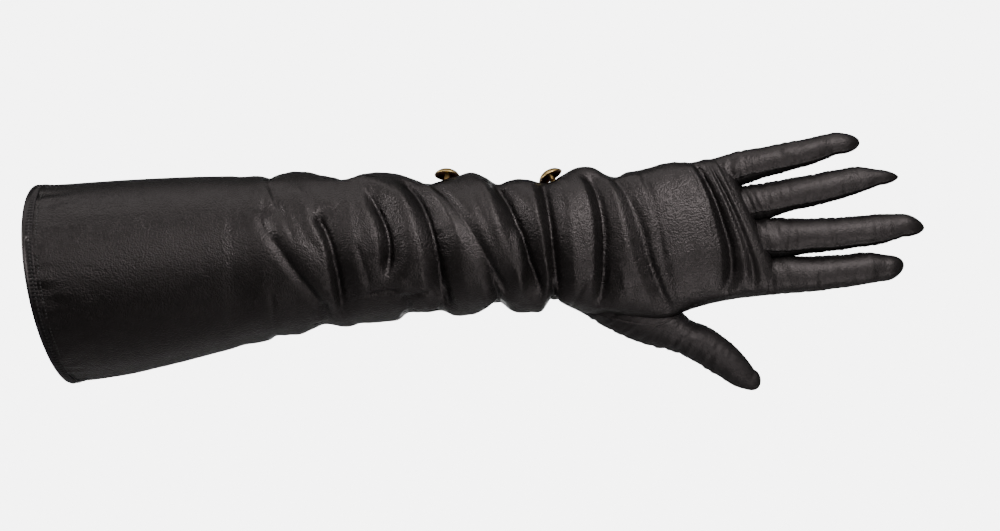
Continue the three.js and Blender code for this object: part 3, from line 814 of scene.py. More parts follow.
FINGER_SEAMS = {
    "little": (True, False, True, True),
    "ring": (True, True, True, True),
    "middle": (True, True, True, True),
    "index": (True, True, False, False),
    "thumb": (False, True, False, False),
}
SEWN_STRIPS = {
    "little": (False, True),
    "ring": (True, True),
    "middle": (True, True),
    "index": (True, False),
}
finger_grids = {}
for seed, (name, seams) in enumerate(FINGER_SEAMS.items()):
    strengths = (0.55, 0.4) if name == "thumb" else (0.45, 0.0)
    finger_grids[name] = finger_grid(name, seams, finger_wrinkle(seed, *strengths))


def build_fingers(names, piece_name, slot, node):
    """One piece of several fingers, each a closed tube."""
    all_points, all_faces, all_heights = [], [], []
    start = 0
    for name in names:
        points, height, starts, _ = finger_grids[name]
        if name in SEWN_STRIPS:
            top, low = SEWN_STRIPS[name]
            points = sunk_under_strips(points, finger_sections(name), starts, (top, top, low, low))
        middles, faces = closed_tube(points, start)
        all_points += [points.reshape(-1, 3), middles]
        all_heights += [height.ravel(), np.zeros(2)]
        all_faces += faces
        start += points.shape[0] * points.shape[1] + 2
    mesh = make_mesh(piece_name, np.concatenate(all_points), all_faces)
    # The stored heights make the leather's colour lighter on the ridges as rubbing and darker in the
    # creases as painted shade.
    store_on_points(mesh, "stand", np.concatenate(all_heights))
    return add_piece(piece_name, mesh, slot, node)


FOUR_FINGERS = ("little", "ring", "middle", "index")
finger_skin = build_fingers(FOUR_FINGERS, "finger_skin", "black_leather", "trank")
thumb_skin = build_fingers(("thumb",), "thumb_skin", "thumb_leather", "thumb")

# %% [markdown]
# ## The thumb's seam
#
# The thumb is let into a hole in the hand, and its seam stands up as two thin welts under the edge of the
# hand. Each welt is drawn as a line in the plane of the back of the hand. A ray from the front finds the
# leather behind each of its places, and a thin tube that tapers at both ends follows them.

# %% Build the thumb's welts
WELTS = [
    [(270.0, -15.2), (276.5, -17.0), (284.5, -19.2), (296.0, -20.9), (301.5, -19.9), (307.5, -17.0),
     (311.5, -14.4)],
    [(286.5, -24.8), (291.0, -24.2), (297.0, -22.9), (303.5, -19.9)],
]
WELT_RADIUS = 0.5
WELT_SIDES = 10
WELT_STEP = 0.7
TAPER_STEPS, THINNEST, TAPER_CURVE = 6, 0.12, 0.6


def skin_tree(*pieces):
    """One search tree over the faces of several pieces, in millimetres."""
    points, faces = [], []
    for piece in pieces:
        start = len(points)
        points += [vertex.co / MM for vertex in piece.data.vertices]
        faces += [[start + corner for corner in polygon.vertices] for polygon in piece.data.polygons]
    return BVHTree.FromPolygons(points, faces)


def smooth_line(corners, step):
    """Evenly spaced places on a smooth curve near the corners."""
    line = np.array(corners)
    for _ in range(3):
        before = line[:-1] * 0.75 + line[1:] * 0.25
        beyond = line[:-1] * 0.25 + line[1:] * 0.75
        line = np.concatenate([line[:1], np.stack([before, beyond], axis=1).reshape(-1, 2), line[-1:]])
    length = np.concatenate([[0], np.cumsum(np.linalg.norm(np.diff(line, axis=0), axis=1))])
    places = np.linspace(0, length[-1], int(length[-1] / step) + 1)
    return np.stack([np.interp(places, length, line[:, axis]) for axis in range(2)], axis=-1)


def welt_tube(corners, tree):
    """A tapered tube on the front of the leather along a line of x and z places."""
    line = smooth_line(corners, WELT_STEP)
    depth = np.array([tree.ray_cast(Vector((x, -100, z)), Vector((0, 1, 0)))[0].y for x, z in line])
    for _ in range(4):
        depth[1:-1] = (depth[:-2] + depth[1:-1] * 2 + depth[2:]) / 4
    middle = np.stack([line[:, 0], depth, line[:, 1]], axis=-1)
    ahead = unit(np.gradient(middle, axis=0))
    side = unit(np.cross(ahead, [0.0, 1.0, 0.0]))
    front = np.cross(ahead, side)
    from_end = np.minimum(np.arange(len(line)), np.arange(len(line))[::-1])
    taper = np.clip(from_end / TAPER_STEPS, THINNEST, 1) ** TAPER_CURVE
    angles = turn_angles(WELT_SIDES)
    ring = np.cos(angles)[None, :, None] * side[:, None] + np.sin(angles)[None, :, None] * front[:, None]
    return middle[:, None] + ring * (WELT_RADIUS * taper)[:, None, None]


def build_welts():
    """Both welts of the thumb's seam, in one piece."""
    tree = skin_tree(trank_skin, thumb_skin)
    all_points, all_faces = [], []
    start = 0
    for corners in WELTS:
        points = welt_tube(corners, tree)
        middles, faces = closed_tube(points, start)
        all_points += [points.reshape(-1, 3), middles]
        all_faces += faces
        start += points.shape[0] * points.shape[1] + 2
    mesh = make_mesh("thumb_welts", np.concatenate(all_points), all_faces)
    store_on_points(mesh, "stand", np.full(len(mesh.vertices), 1.2))
    return add_piece("thumb_welts", mesh, "thumb_leather")


thumb_welts = build_welts()

# %% [markdown]
# ## The strips between the fingers
#
# A strip is a thin closed shell over the columns that the finger's skin leaves sunk. It takes its points
# from the finger, so that its edges lie beside the seams whatever the finger's shape.

# %% Build the strips
STRIP_THICKNESS = 0.5
STRIP_LENGTH = 0.95


def shell_from_patch(outer, inner, start):
    """A closed shell from an outer and an inner patch of points."""
    rows, columns = outer.shape[:2]
    count = rows * columns
    row, column = np.meshgrid(np.arange(rows - 1), np.arange(columns - 1), indexing="ij")
    near = start + row * columns + column
    quads = np.stack([near, near + 1, near + columns + 1, near + columns], axis=-1).reshape(-1, 4)
    rim = np.concatenate([np.arange(columns), np.arange(1, rows) * columns + columns - 1,
                          (rows - 1) * columns + np.arange(columns - 2, -1, -1),
                          np.arange(rows - 2, 0, -1) * columns]) + start
    after = np.roll(rim, -1)
    edge = np.stack([after, rim, rim + count, after + count], axis=-1)
    return [quads, (quads + count)[:, ::-1], edge]


def build_strip(name, upper_finger, lower_finger):
    """The lower strip of one finger and the upper strip of the next, in one piece."""
    all_points, all_faces = [], []
    start = 0
    for finger, first in ((upper_finger, 2), (lower_finger, 0)):
        points, _, starts, share = finger_grids[finger]
        rows = share < STRIP_LENGTH
        outer = points[rows, starts[first] + 1:starts[first] + STRIP_COLUMNS + 2]
        middle = points[rows].mean(axis=1, keepdims=True)
        inner = outer + unit(middle - outer) * STRIP_THICKNESS
        all_points += [outer.reshape(-1, 3), inner.reshape(-1, 3)]
        all_faces += shell_from_patch(outer, inner, start)
        start += 2 * outer.shape[0] * outer.shape[1]
    mesh = make_mesh(name, np.concatenate(all_points), all_faces)
    return add_piece(name, mesh, "side_leather", name)


strips = [
    build_strip("fourchette_ring_little", "little", "ring"),
    build_strip("fourchette_middle_ring", "ring", "middle"),
    build_strip("fourchette_index_middle", "middle", "index"),
]

# %% [markdown]
# ## The edge binding
#
# The binding is a profile swept round the mouth: a rolled bead at the very edge, and a folded band that
# a row of stitches holds down, with a second row beside it. A bevelled curve couldn't pucker, so the
# profile is swept in numpy, and each stitch pulls the band in a little, as on a real sewn edge.

# %% Build the binding
BINDING_COLUMNS = 720
BINDING_WIDTH = 3.7
BEAD_REACH = 0.95
BEAD_HEIGHT = 1.4
BEAD_MIDDLE = -0.35
HEM_STITCH = 1.9
HEM_ROWS = (2.1, 5.1)
PUCKER, PUCKER_WIDTH = 0.3, 0.9


def binding_profile():
    """Places along the sleeve and outward of its skin, once round the profile."""
    turn = np.radians(np.linspace(62, 298, 15))
    bead = np.stack([BEAD_MIDDLE + BEAD_REACH * np.cos(turn),
                     BEAD_HEIGHT * np.sin(turn) - LEATHER / 2], axis=-1)
    outside = np.array([[BINDING_WIDTH, -0.1], [BINDING_WIDTH, 0.3], [BINDING_WIDTH - 0.3, 0.46],
                        [2.7, 0.5], [HEM_ROWS[0], 0.4], [1.5, 0.5], [0.9, 0.42], [0.4, 0.46]])
    inside = np.array([[0.6, -1.8], [1.6, -1.8], [2.8, -1.75],
                       [BINDING_WIDTH, -1.6], [BINDING_WIDTH, -1.1]])
    return np.concatenate([outside, bead, inside])


def hem_length(angles):
    """How far round the hem each angle is, and the whole way, in millimetres."""
    line = plain_sleeve(np.full(angles.shape, HEM_ROWS[0]), angles)
    steps = np.linalg.norm(np.roll(line, -1, axis=0) - line, axis=-1)
    return np.concatenate([[0], np.cumsum(steps)[:-1]]), steps.sum()


def build_binding():
    """The profile swept round the mouth and puckered by its stitches."""
    profile = binding_profile()
    angles = turn_angles(BINDING_COLUMNS)
    place, angle = np.meshgrid(profile[:, 0], angles, indexing="ij")
    out, _ = sleeve_directions(place, angle)
    stand = profile[:, 1][:, None] + np.zeros(angle.shape)
    around, whole = hem_length(angles)
    stitches = round(whole / HEM_STITCH)
    near_row = hump(place, HEM_ROWS[0], PUCKER_WIDTH) * (stand > 0)
    pucker = PUCKER * np.cos(around / whole * stitches * 2 * np.pi) * near_row
    ring = np.stack([np.zeros(angle.shape), np.cos(angle) * 9, np.sin(angle) * 9], axis=-1)
    pucker = pucker + 0.10 * noise_at(ring)
    points = plain_sleeve(place, angle) + out * (stand + pucker)[..., None]
    rows = len(profile)
    faces = grid_faces(rows, BINDING_COLUMNS)
    column = np.arange(BINDING_COLUMNS)
    after = (column + 1) % BINDING_COLUMNS
    last = (rows - 1) * BINDING_COLUMNS
    closing = np.stack([last + column, last + after, after, column], axis=-1)
    mesh = make_mesh("cuff_binding", points.reshape(-1, 3), [faces[:, ::-1], closing[:, ::-1]])
    return add_piece("cuff_binding", mesh, "edge_leather", "cuff_binding")


cuff_binding = build_binding()

# %% [markdown]
# ## Buttons
#
# A button is one profile turned round its axis: a domed cap with a rolled rim, hollow under it, and a
# post that goes into the leather. Its place and its lean are read from the plain solid. The folded
# leather may lie lower than the plain one there, so a ray finds it and the button is let down to it.

# %% Build the buttons
BUTTON_SIDES = 72
BUTTON_PROFILE = [
    (0.0, 7.5), (1.2, 7.44), (2.4, 7.24), (3.5, 6.9), (4.5, 6.38), (5.3, 5.76), (5.9, 5.1), (6.25, 4.62),
    (6.45, 4.34), (6.5, 4.16), (6.44, 4.0), (6.3, 3.9), (6.12, 3.92), (6.0, 4.08), (5.8, 4.4), (5.2, 5.1),
    (4.4, 5.72), (3.4, 6.2), (2.4, 6.48), (1.9, 6.5), (1.6, 6.3), (1.5, 5.9), (1.42, 4.0), (1.42, 2.2),
    (1.6, 1.5), (2.2, 1.1), (2.6, 0.75), (2.6, 0.35), (2.2, 0.05), (0.0, 0.0),
]


def button_axis(node):
    """The foot of a button on its axis, and the direction that it stands in."""
    corners = np.array([vertex.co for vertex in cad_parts[node].data.vertices]) / MM
    middle = corners.mean(axis=0)
    spread, ways = np.linalg.eigh(np.cov((corners - middle).T))
    odd_one = 0 if spread[1] - spread[0] > spread[2] - spread[1] else 2
    up = ways[:, odd_one] * np.sign(ways[2, odd_one])
    heights = (corners - middle) @ up
    return middle + up * heights.min(), up, heights.max() - heights.min()


SEAT_LOOK = 4.0
SEAT_DEPTH = 0.5
CAP_UNDERSIDE = (12, 19)


def seat_drop(foot, up):
    """How far a button has to move down to stand in the folded leather."""
    start = foot + up * SEAT_LOOK
    hit, _, _, reach = skin_tree(trank_skin).ray_cast(Vector(start), Vector(-up))
    return 0.0 if hit is None else max(reach - SEAT_LOOK + SEAT_DEPTH, 0.0)


def build_button(node):
    """One button, turned round the axis of its plain solid."""
    foot, up, rise = button_axis(node)
    drop = seat_drop(foot, up)
    foot = foot - up * drop
    side = unit(np.cross(up, [0.0, 1.0, 0.0]))
    other = np.cross(up, side)
    angles = turn_angles(BUTTON_SIDES)
    ring = np.cos(angles)[:, None] * side + np.sin(angles)[:, None] * other
    scale = rise / BUTTON_PROFILE[0][1]
    rows = [foot + up * height * scale + ring * radius for radius, height in BUTTON_PROFILE[1:-1]]
    count = len(rows)
    ends = [foot + up * rise, foot]
    points = np.concatenate([np.concatenate(rows), ends])
    top = count * BUTTON_SIDES
    faces = [grid_faces(count, BUTTON_SIDES)[:, ::-1], fan_faces(0, BUTTON_SIDES, top, False),
             fan_faces((count - 1) * BUTTON_SIDES, BUTTON_SIDES, top + 1, True)]
    mesh = make_mesh(node, points, faces)
    # Marks the cap's hollow underside, which the metal colours dark as painted shade.
    under = np.zeros((count, BUTTON_SIDES))
    under[CAP_UNDERSIDE[0]:CAP_UNDERSIDE[1]] = 1.0
    store_on_points(mesh, "under", np.concatenate([under.ravel(), [0.0, 0.0]]))
    print(node, "foot:", foot.round(1), "up:", up.round(2))
    print(node, "rise:", round(float(rise), 2), "drop:", round(drop, 2))
    return add_piece(node, mesh, "gold_metal", node)


buttons = [build_button("button_forearm"), build_button("button_wrist")]

# %% [markdown]
# ## Stitches
#
# Each seam has hundreds of stitches, so they are instances: Geometry Nodes turns the seam's line into a
# curve, cuts it into equal steps and sets one stitch on each, turned along the seam and away from the
# leather. The result is kept as a plain mesh.

# %% One stitch and the node tree that repeats it
STITCH_HALF, THREAD_WIDE, THREAD_HIGH, THREAD_DIP = 0.5, 0.115, 0.09, 0.08


def stitch_mesh():
    """A short thread that swells in its middle and dips at both ends."""
    around, along = 8, 7
    points = []
    for t in np.linspace(-0.96, 0.96, along):
        swell = (1 - t * t) ** 0.35
        for turn in turn_angles(around):
            rise = THREAD_HIGH * swell * np.sin(turn) - THREAD_DIP * t * t
            points.append([t * STITCH_HALF, THREAD_WIDE * swell * np.cos(turn), rise])
    points += [[-STITCH_HALF, 0, -THREAD_DIP], [STITCH_HALF, 0, -THREAD_DIP]]
    faces = [grid_faces(along, around), fan_faces(0, around, along * around, True),
             fan_faces((along - 1) * around, around, along * around + 1, False)]
    mesh = bpy.data.meshes.new("one_stitch")
    mesh.from_pydata(points, [], [face for group in faces for face in group.tolist()])
    mesh.shade_smooth()
    return mesh


def stitch_tree(stitch):
    """Repeats one stitch along every line of a mesh."""
    tree = bpy.data.node_groups.new("Row of stitches", "GeometryNodeTree")
    face = tree.interface
    face.new_socket("Lines", in_out="INPUT", socket_type="NodeSocketGeometry")
    pitch = face.new_socket("Pitch", in_out="INPUT", socket_type="NodeSocketFloat")
    size = face.new_socket("Stitch size", in_out="INPUT", socket_type="NodeSocketVector")
    tilt = face.new_socket("Tilt", in_out="INPUT", socket_type="NodeSocketFloat")
    material = face.new_socket("Thread", in_out="INPUT", socket_type="NodeSocketMaterial")
    face.new_socket("Stitches", in_out="OUTPUT", socket_type="NodeSocketGeometry")
    nodes, join = tree.nodes, tree.links.new
    given = nodes.new("NodeGroupInput")
    result = nodes.new("NodeGroupOutput")
    curve = nodes.new("GeometryNodeMeshToCurve")
    resample = nodes.new("GeometryNodeResampleCurve")
    resample.mode = "LENGTH"
    tangent = nodes.new("GeometryNodeInputTangent")
    outward = nodes.new("GeometryNodeInputNamedAttribute")
    outward.data_type = "FLOAT_VECTOR"
    outward.inputs["Name"].default_value = "outward"
    lengthwise = nodes.new("FunctionNodeAlignRotationToVector")
    lengthwise.axis = "X"
    upright = nodes.new("FunctionNodeAlignRotationToVector")
    upright.axis = "Z"
    upright.pivot_axis = "X"
    turn = nodes.new("ShaderNodeCombineXYZ")
    tilted = nodes.new("FunctionNodeRotateRotation")
    tilted.rotation_space = "LOCAL"
    thread = nodes.new("GeometryNodeObjectInfo")
    thread.inputs["Object"].default_value = stitch
    place = nodes.new("GeometryNodeInstanceOnPoints")
    realize = nodes.new("GeometryNodeRealizeInstances")
    paint = nodes.new("GeometryNodeSetMaterial")
    join(given.outputs["Lines"], curve.inputs["Mesh"])
    join(curve.outputs["Curve"], resample.inputs["Curve"])
    join(given.outputs["Pitch"], resample.inputs["Length"])
    join(tangent.outputs["Tangent"], lengthwise.inputs["Vector"])
    join(lengthwise.outputs["Rotation"], upright.inputs["Rotation"])
    join(outward.outputs["Attribute"], upright.inputs["Vector"])
    join(given.outputs["Tilt"], turn.inputs["Z"])
    join(upright.outputs["Rotation"], tilted.inputs["Rotation"])
    join(turn.outputs["Vector"], tilted.inputs["Rotate By"])
    join(resample.outputs["Curve"], place.inputs["Points"])
    join(thread.outputs["Geometry"], place.inputs["Instance"])
    join(tilted.outputs["Rotation"], place.inputs["Rotation"])
    join(given.outputs["Stitch size"], place.inputs["Scale"])
    join(place.outputs["Instances"], realize.inputs["Geometry"])
    join(realize.outputs["Geometry"], paint.inputs["Geometry"])
    join(given.outputs["Thread"], paint.inputs["Material"])
    join(paint.outputs["Geometry"], result.inputs["Stitches"])
    return tree, pitch.identifier, size.identifier, tilt.identifier, material.identifier


one_stitch = bpy.data.objects.new("one_stitch", stitch_mesh())
STITCH_TREE, PITCH_INPUT, SIZE_INPUT, TILT_INPUT, THREAD_INPUT = stitch_tree(one_stitch)
thread_material = bpy.data.materials.new("waxed_thread")
print("one stitch:", len(one_stitch.data.vertices), "points")


def sew(name, lines, pitch, size, tilt, slot):
    """A row of stitches on each line. A line is its points and its outward directions, in mm."""
    mesh = bpy.data.meshes.new(name)
    points, outs, edges = [], [], []
    for line, outward, closed in lines:
        first = len(points)
        points += (np.asarray(line) * MM).tolist()
        outs += np.asarray(outward).tolist()
        count = len(line)
        edges += [(first + i, first + (i + 1) % count) for i in range(count if closed else count - 1)]
    mesh.from_pydata(points, edges, [])
    attribute = mesh.attributes.new("outward", "FLOAT_VECTOR", "POINT")
    attribute.data.foreach_set("vector", np.asarray(outs, np.float32).ravel())
    carrier = bpy.data.objects.new(name + "_lines", mesh)
    bpy.context.scene.collection.objects.link(carrier)
    modifier = carrier.modifiers.new("stitches", "NODES")
    modifier.node_group = STITCH_TREE
    modifier[PITCH_INPUT] = pitch * MM
    modifier[SIZE_INPUT] = [value * MM for value in size]
    modifier[TILT_INPUT] = math.radians(tilt)
    modifier[THREAD_INPUT] = thread_material
    evaluated = carrier.evaluated_get(bpy.context.evaluated_depsgraph_get())
    sewn = bpy.data.meshes.new_from_object(evaluated)
    bpy.data.objects.remove(carrier)
    return add_piece(name, sewn, slot)


# %% Sew the seams
SEAM_COLUMN = 212
SEWN_FROM, SEWN_TO = 0.08, 0.93
HEM_THREAD, SEAM_THREAD = (1.45, 3.0, 3.0), (1.5, 2.2, 2.2)
HEM_TILT, FINGER_TILT = 6, 8


def sleeve_line(columns, rows, rise):
    """A line on the folded sleeve along one column."""
    points = sleeve_points[rows, columns]
    outs = sleeve_outs[rows, columns]
    return points + outs * rise, outs, False


def grid_normals(points):
    """Outward directions of a grid that closes round on itself."""
    along = np.gradient(points, axis=0)
    around = (np.roll(points, -1, axis=1) - np.roll(points, 1, axis=1)) / 2
    return unit(np.cross(around, along))


sleeve_outs = grid_normals(sleeve_points)


def hem_line(place, rise):
    """A closed line round the binding, at one distance from the edge."""
    angles = turn_angles(BINDING_COLUMNS)
    places = np.full(angles.shape, place)
    out, _ = sleeve_directions(places, angles)
    return plain_sleeve(places, angles) + out * rise, out, True


def seam_line(finger, seam, inset):
    """A line beside one of a finger's seams, on the back or the palm."""
    points, _, starts, share = finger_grids[finger]
    outs = grid_normals(points)
    rows = np.flatnonzero((share > SEWN_FROM) & (share < SEWN_TO))
    column = (starts[seam] + inset) % points.shape[1]
    return points[rows, column] + outs[rows, column] * 0.05, outs[rows, column], False


sew("hem_stitches", [hem_line(HEM_ROWS[0], 0.5), hem_line(HEM_ROWS[1], 0.1)], HEM_STITCH,
    HEM_THREAD, HEM_TILT, "edge_leather")
finger_lines = []
for finger in FOUR_FINGERS:
    for seam, inset in ((0, -1), (1, 1), (2, -1), (3, 1)):
        if FINGER_SEAMS[finger][seam]:
            finger_lines.append(seam_line(finger, seam, inset))
sew("finger_stitches", finger_lines, STITCH_PITCH, SEAM_THREAD, FINGER_TILT, "side_leather")
side_rows = np.arange(4, len(sleeve_points) - 6)
side_lines = [sleeve_line(SEAM_COLUMN + side, side_rows, 0.1) for side in (-1, 1)]
sew("side_seam_stitches", side_lines, STITCH_PITCH, SEAM_THREAD, 0, "side_leather")
bpy.data.objects.remove(one_stitch)

# %% [markdown]
# ## Materials
#
# Leather is black all over, so nearly all that shows of it is gloss. Two groups make its surface. Grain
# gives fine pebbles from cells and noise, and the second gives a number that rises on the ridges and falls
# in the creases: the colour reads it, lighter on the ridges as rubbing and darker in the creases as
# painted shade. All of the leathers use both. Over the fingers the leather is stretched, so there its
# grain is flatter and its gloss duller, and the strips between the fingers are the dullest of all, and
# darker in colour as painted shade for the gaps between the fingers.

# %% Shader node groups
def new_group(name, inputs, outputs):
    """A shader node group with its sockets, its input node and its output node."""
    group = bpy.data.node_groups.new(name, "ShaderNodeTree")
    for socket, default in inputs:
        item = group.interface.new_socket(socket, in_out="INPUT", socket_type="NodeSocketFloat")
        item.default_value = default
    for socket in outputs:
        group.interface.new_socket(socket, in_out="OUTPUT", socket_type="NodeSocketFloat")
    return group, group.nodes.new("NodeGroupInput"), group.nodes.new("NodeGroupOutput")


def math_node(tree, operation, first, second):
    """One sum. Each side is a socket or a number."""
    node = tree.nodes.new("ShaderNodeMath")
    node.operation = operation
    for socket, value in zip(node.inputs, (first, second)):
        if isinstance(value, (int, float)):
            socket.default_value = value
        else:
            tree.links.new(value, socket)
    return node.outputs["Value"]


def noise_node(tree, place, scale, detail, roughness=0.5):
    """Noise from 0 to 1 at each place."""
    node = tree.nodes.new("ShaderNodeTexNoise")
    node.inputs["Scale"].default_value = scale
    node.inputs["Detail"].default_value = detail
    node.inputs["Roughness"].default_value = roughness
    tree.links.new(place, node.inputs["Vector"])
    return node.outputs["Fac"]


def grain_group():
    """Pebbles about a millimetre wide with finer pores, pulled flatter where the fingers stretch them."""
    group, given, result = new_group("Leather grain", [("Pebble scale", 950.0), ("Pore share", 0.5)],
                                     ["Height", "Tone", "Taut"])
    place = group.nodes.new("ShaderNodeTexCoord").outputs["Object"]
    cells = group.nodes.new("ShaderNodeTexVoronoi")
    cells.feature = "SMOOTH_F1"
    cells.inputs["Smoothness"].default_value = 0.35
    group.links.new(place, cells.inputs["Vector"])
    group.links.new(given.outputs["Pebble scale"], cells.inputs["Scale"])
    pores = noise_node(group, place, 2600.0, 2.0)
    patches = noise_node(group, place, 160.0, 3.0)
    pebble = math_node(group, "SUBTRACT", 1.0, cells.outputs["Distance"])
    fine = math_node(group, "MULTIPLY", pores, given.outputs["Pore share"])
    varied = math_node(group, "MULTIPLY", pebble, math_node(group, "ADD", patches, 0.35))
    axes = group.nodes.new("ShaderNodeSeparateXYZ")
    group.links.new(place, axes.inputs["Vector"])
    taut = group.nodes.new("ShaderNodeMapRange")
    taut.inputs["From Min"].default_value = HAND_END * MM * 0.9
    taut.inputs["From Max"].default_value = HAND_END * MM * 1.05
    group.links.new(axes.outputs["X"], taut.inputs["Value"])
    flatter = math_node(group, "SUBTRACT", 1.0, math_node(group, "MULTIPLY", taut.outputs["Result"], 0.4))
    height = math_node(group, "ADD", varied, fine)
    group.links.new(math_node(group, "MULTIPLY", height, flatter), result.inputs["Height"])
    group.links.new(taut.outputs["Result"], result.inputs["Taut"])
    group.links.new(patches, result.inputs["Tone"])
    return group


def rubbing_and_crease_shade_group():
    """Lighter as rubbing on the ridges and darker as painted shade in the creases, from how high a place
    stands, with noise.
    """
    group, given, result = new_group("Leather rubbing and crease shade", [("Stand", 0.0)], ["Rubbed"])
    place = group.nodes.new("ShaderNodeTexCoord").outputs["Object"]
    cloud = noise_node(group, place, 45.0, 4.0, 0.6)
    high = group.nodes.new("ShaderNodeMapRange")
    high.inputs["From Min"].default_value = -2.5
    high.inputs["From Max"].default_value = 4.5
    group.links.new(given.outputs["Stand"], high.inputs["Value"])
    crease_shade_and_rubbing = math_node(group, "MULTIPLY", high.outputs["Result"], math_node(group, "ADD", cloud, 0.3))
    group.links.new(crease_shade_and_rubbing, result.inputs["Rubbed"])
    return group


GRAIN = grain_group()
RUBBING_AND_CREASE_SHADE = rubbing_and_crease_shade_group()
print("groups:", GRAIN.name, "and", RUBBING_AND_CREASE_SHADE.name)

# %% The leathers, the thread and the metal
def add_group(tree, group, **values):
    """One use of a group, with the values that it needs."""
    node = tree.nodes.new("ShaderNodeGroup")
    node.node_tree = group
    for name, value in values.items():
        node.inputs[name.replace("_", " ")].default_value = value
    return node


def new_material(material, metallic=0.0, specular=0.5):
    """A material with nothing but its shader."""
    material.use_nodes = True
    tree = material.node_tree
    tree.nodes.clear()
    shader = tree.nodes.new("ShaderNodeBsdfPrincipled")
    output = tree.nodes.new("ShaderNodeOutputMaterial")
    tree.links.new(shader.outputs["BSDF"], output.inputs["Surface"])
    shader.inputs["Metallic"].default_value = metallic
    shader.inputs["Specular IOR Level"].default_value = specular
    return tree, shader


def ranged(tree, value, low, high):
    """A value from 0 to 1 spread over a range."""
    node = tree.nodes.new("ShaderNodeMapRange")
    node.inputs["To Min"].default_value = low
    node.inputs["To Max"].default_value = high
    tree.links.new(value, node.inputs["Value"])
    return node.outputs["Result"]


def colour_between(tree, value, dark, light):
    """A colour between two, chosen by a value from 0 to 1."""
    node = tree.nodes.new("ShaderNodeMix")
    node.data_type = "RGBA"
    tree.links.new(value, node.inputs["Factor"])
    node.inputs["A"].default_value = (*dark, 1)
    node.inputs["B"].default_value = (*light, 1)
    return node.outputs["Result"]


def bumpy(tree, shader, height, strength, distance):
    """Raises the shader's surface by a height, over a distance in millimetres."""
    bump = tree.nodes.new("ShaderNodeBump")
    bump.inputs["Strength"].default_value = strength
    bump.inputs["Distance"].default_value = distance * MM
    tree.links.new(height, bump.inputs["Height"])
    tree.links.new(bump.outputs["Normal"], shader.inputs["Normal"])


TAUT_DULLNESS = 0.15
TONE_SHARE = 0.35
GLOSS_FADE = (0.5, 0.88)
WARM_SHEEN = (1.0, 0.91, 0.93, 1.0)


def leather(name, dark, light, rough, grain_depth, pebble_scale=950.0, gloss=0.5):
    """Black leather: rough is its roughness in the creases and on the ridges."""
    material = bpy.data.materials.new(name)
    tree, shader = new_material(material)
    shader.inputs["Specular Tint"].default_value = WARM_SHEEN
    grain = add_group(tree, GRAIN, Pebble_scale=pebble_scale, Pore_share=0.5)
    stand = tree.nodes.new("ShaderNodeAttribute")
    stand.attribute_name = "stand"
    rubbing_and_shade_node = add_group(tree, RUBBING_AND_CREASE_SHADE)
    tree.links.new(stand.outputs["Fac"], rubbing_and_shade_node.inputs["Stand"])
    # Base colour from the heights: lighter on the ridges as rubbing, darker in the creases as painted
    # shade.
    tree.links.new(colour_between(tree, rubbing_and_shade_node.outputs["Rubbed"], dark, light), shader.inputs["Base Color"])
    mixed = math_node(tree, "MULTIPLY_ADD", grain.outputs["Tone"], TONE_SHARE)
    tree.links.new(rubbing_and_shade_node.outputs["Rubbed"], mixed.node.inputs[2])
    duller = math_node(tree, "MULTIPLY_ADD", grain.outputs["Taut"], TAUT_DULLNESS)
    tree.links.new(ranged(tree, mixed, rough[0], rough[1]), duller.node.inputs[2])
    tree.links.new(duller, shader.inputs["Roughness"])
    slant = tree.nodes.new("ShaderNodeLayerWeight")
    shine = ranged(tree, slant.outputs["Facing"], gloss, 0.0)
    shine.node.inputs["From Min"].default_value = GLOSS_FADE[0]
    shine.node.inputs["From Max"].default_value = GLOSS_FADE[1]
    tree.links.new(shine, shader.inputs["Specular IOR Level"])
    bumpy(tree, shader, grain.outputs["Height"], 1.0, grain_depth)
    return material


def metal():
    """Polished gold-coloured metal with faint scuffs, dull patches and painted shade under the cap."""
    material = bpy.data.materials.new("gold_metal")
    tree, shader = new_material(material, metallic=1.0)
    place = tree.nodes.new("ShaderNodeTexCoord").outputs["Object"]
    tarnish = noise_node(tree, place, 420.0, 4.0, 0.6)
    scuffs = noise_node(tree, place, 3200.0, 2.0)
    bright = colour_between(tree, tarnish, (0.66, 0.42, 0.13), (1.0, 0.78, 0.38))
    # Painted shade: the cap's hollow underside is coloured dark brown.
    under = tree.nodes.new("ShaderNodeAttribute")
    under.attribute_name = "under"
    colour = colour_between(tree, under.outputs["Fac"], (0, 0, 0), (0.11, 0.045, 0.02))
    tree.links.new(bright, colour.node.inputs["A"])
    tree.links.new(colour, shader.inputs["Base Color"])
    tree.links.new(ranged(tree, tarnish, 0.24, 0.42), shader.inputs["Roughness"])
    bumpy(tree, shader, scuffs, 0.4, 0.03)
    return material


def finish_thread(material):
    """Waxed thread: a twist along each stitch and a slight sheen."""
    tree, shader = new_material(material)
    place = tree.nodes.new("ShaderNodeTexCoord").outputs["Object"]
    twist = noise_node(tree, place, 5200.0, 2.0)
    tree.links.new(colour_between(tree, twist, (0.006, 0.006, 0.006), (0.028, 0.027, 0.027)),
                   shader.inputs["Base Color"])
    tree.links.new(ranged(tree, twist, 0.35, 0.6), shader.inputs["Roughness"])
    bumpy(tree, shader, twist, 0.5, 0.06)


def finish(piece, material):
    """Gives a piece one material."""
    piece.data.materials.clear()
    piece.data.materials.append(material)


hand_leather = leather("black_leather", (0.004, 0.0036, 0.0036), (0.011, 0.010, 0.0098),
                       (0.26, 0.36), 0.26, 1150.0)
smooth_leather = leather("thumb_leather", (0.004, 0.0038, 0.004), (0.012, 0.011, 0.0115),
                         (0.46, 0.58), 0.18)
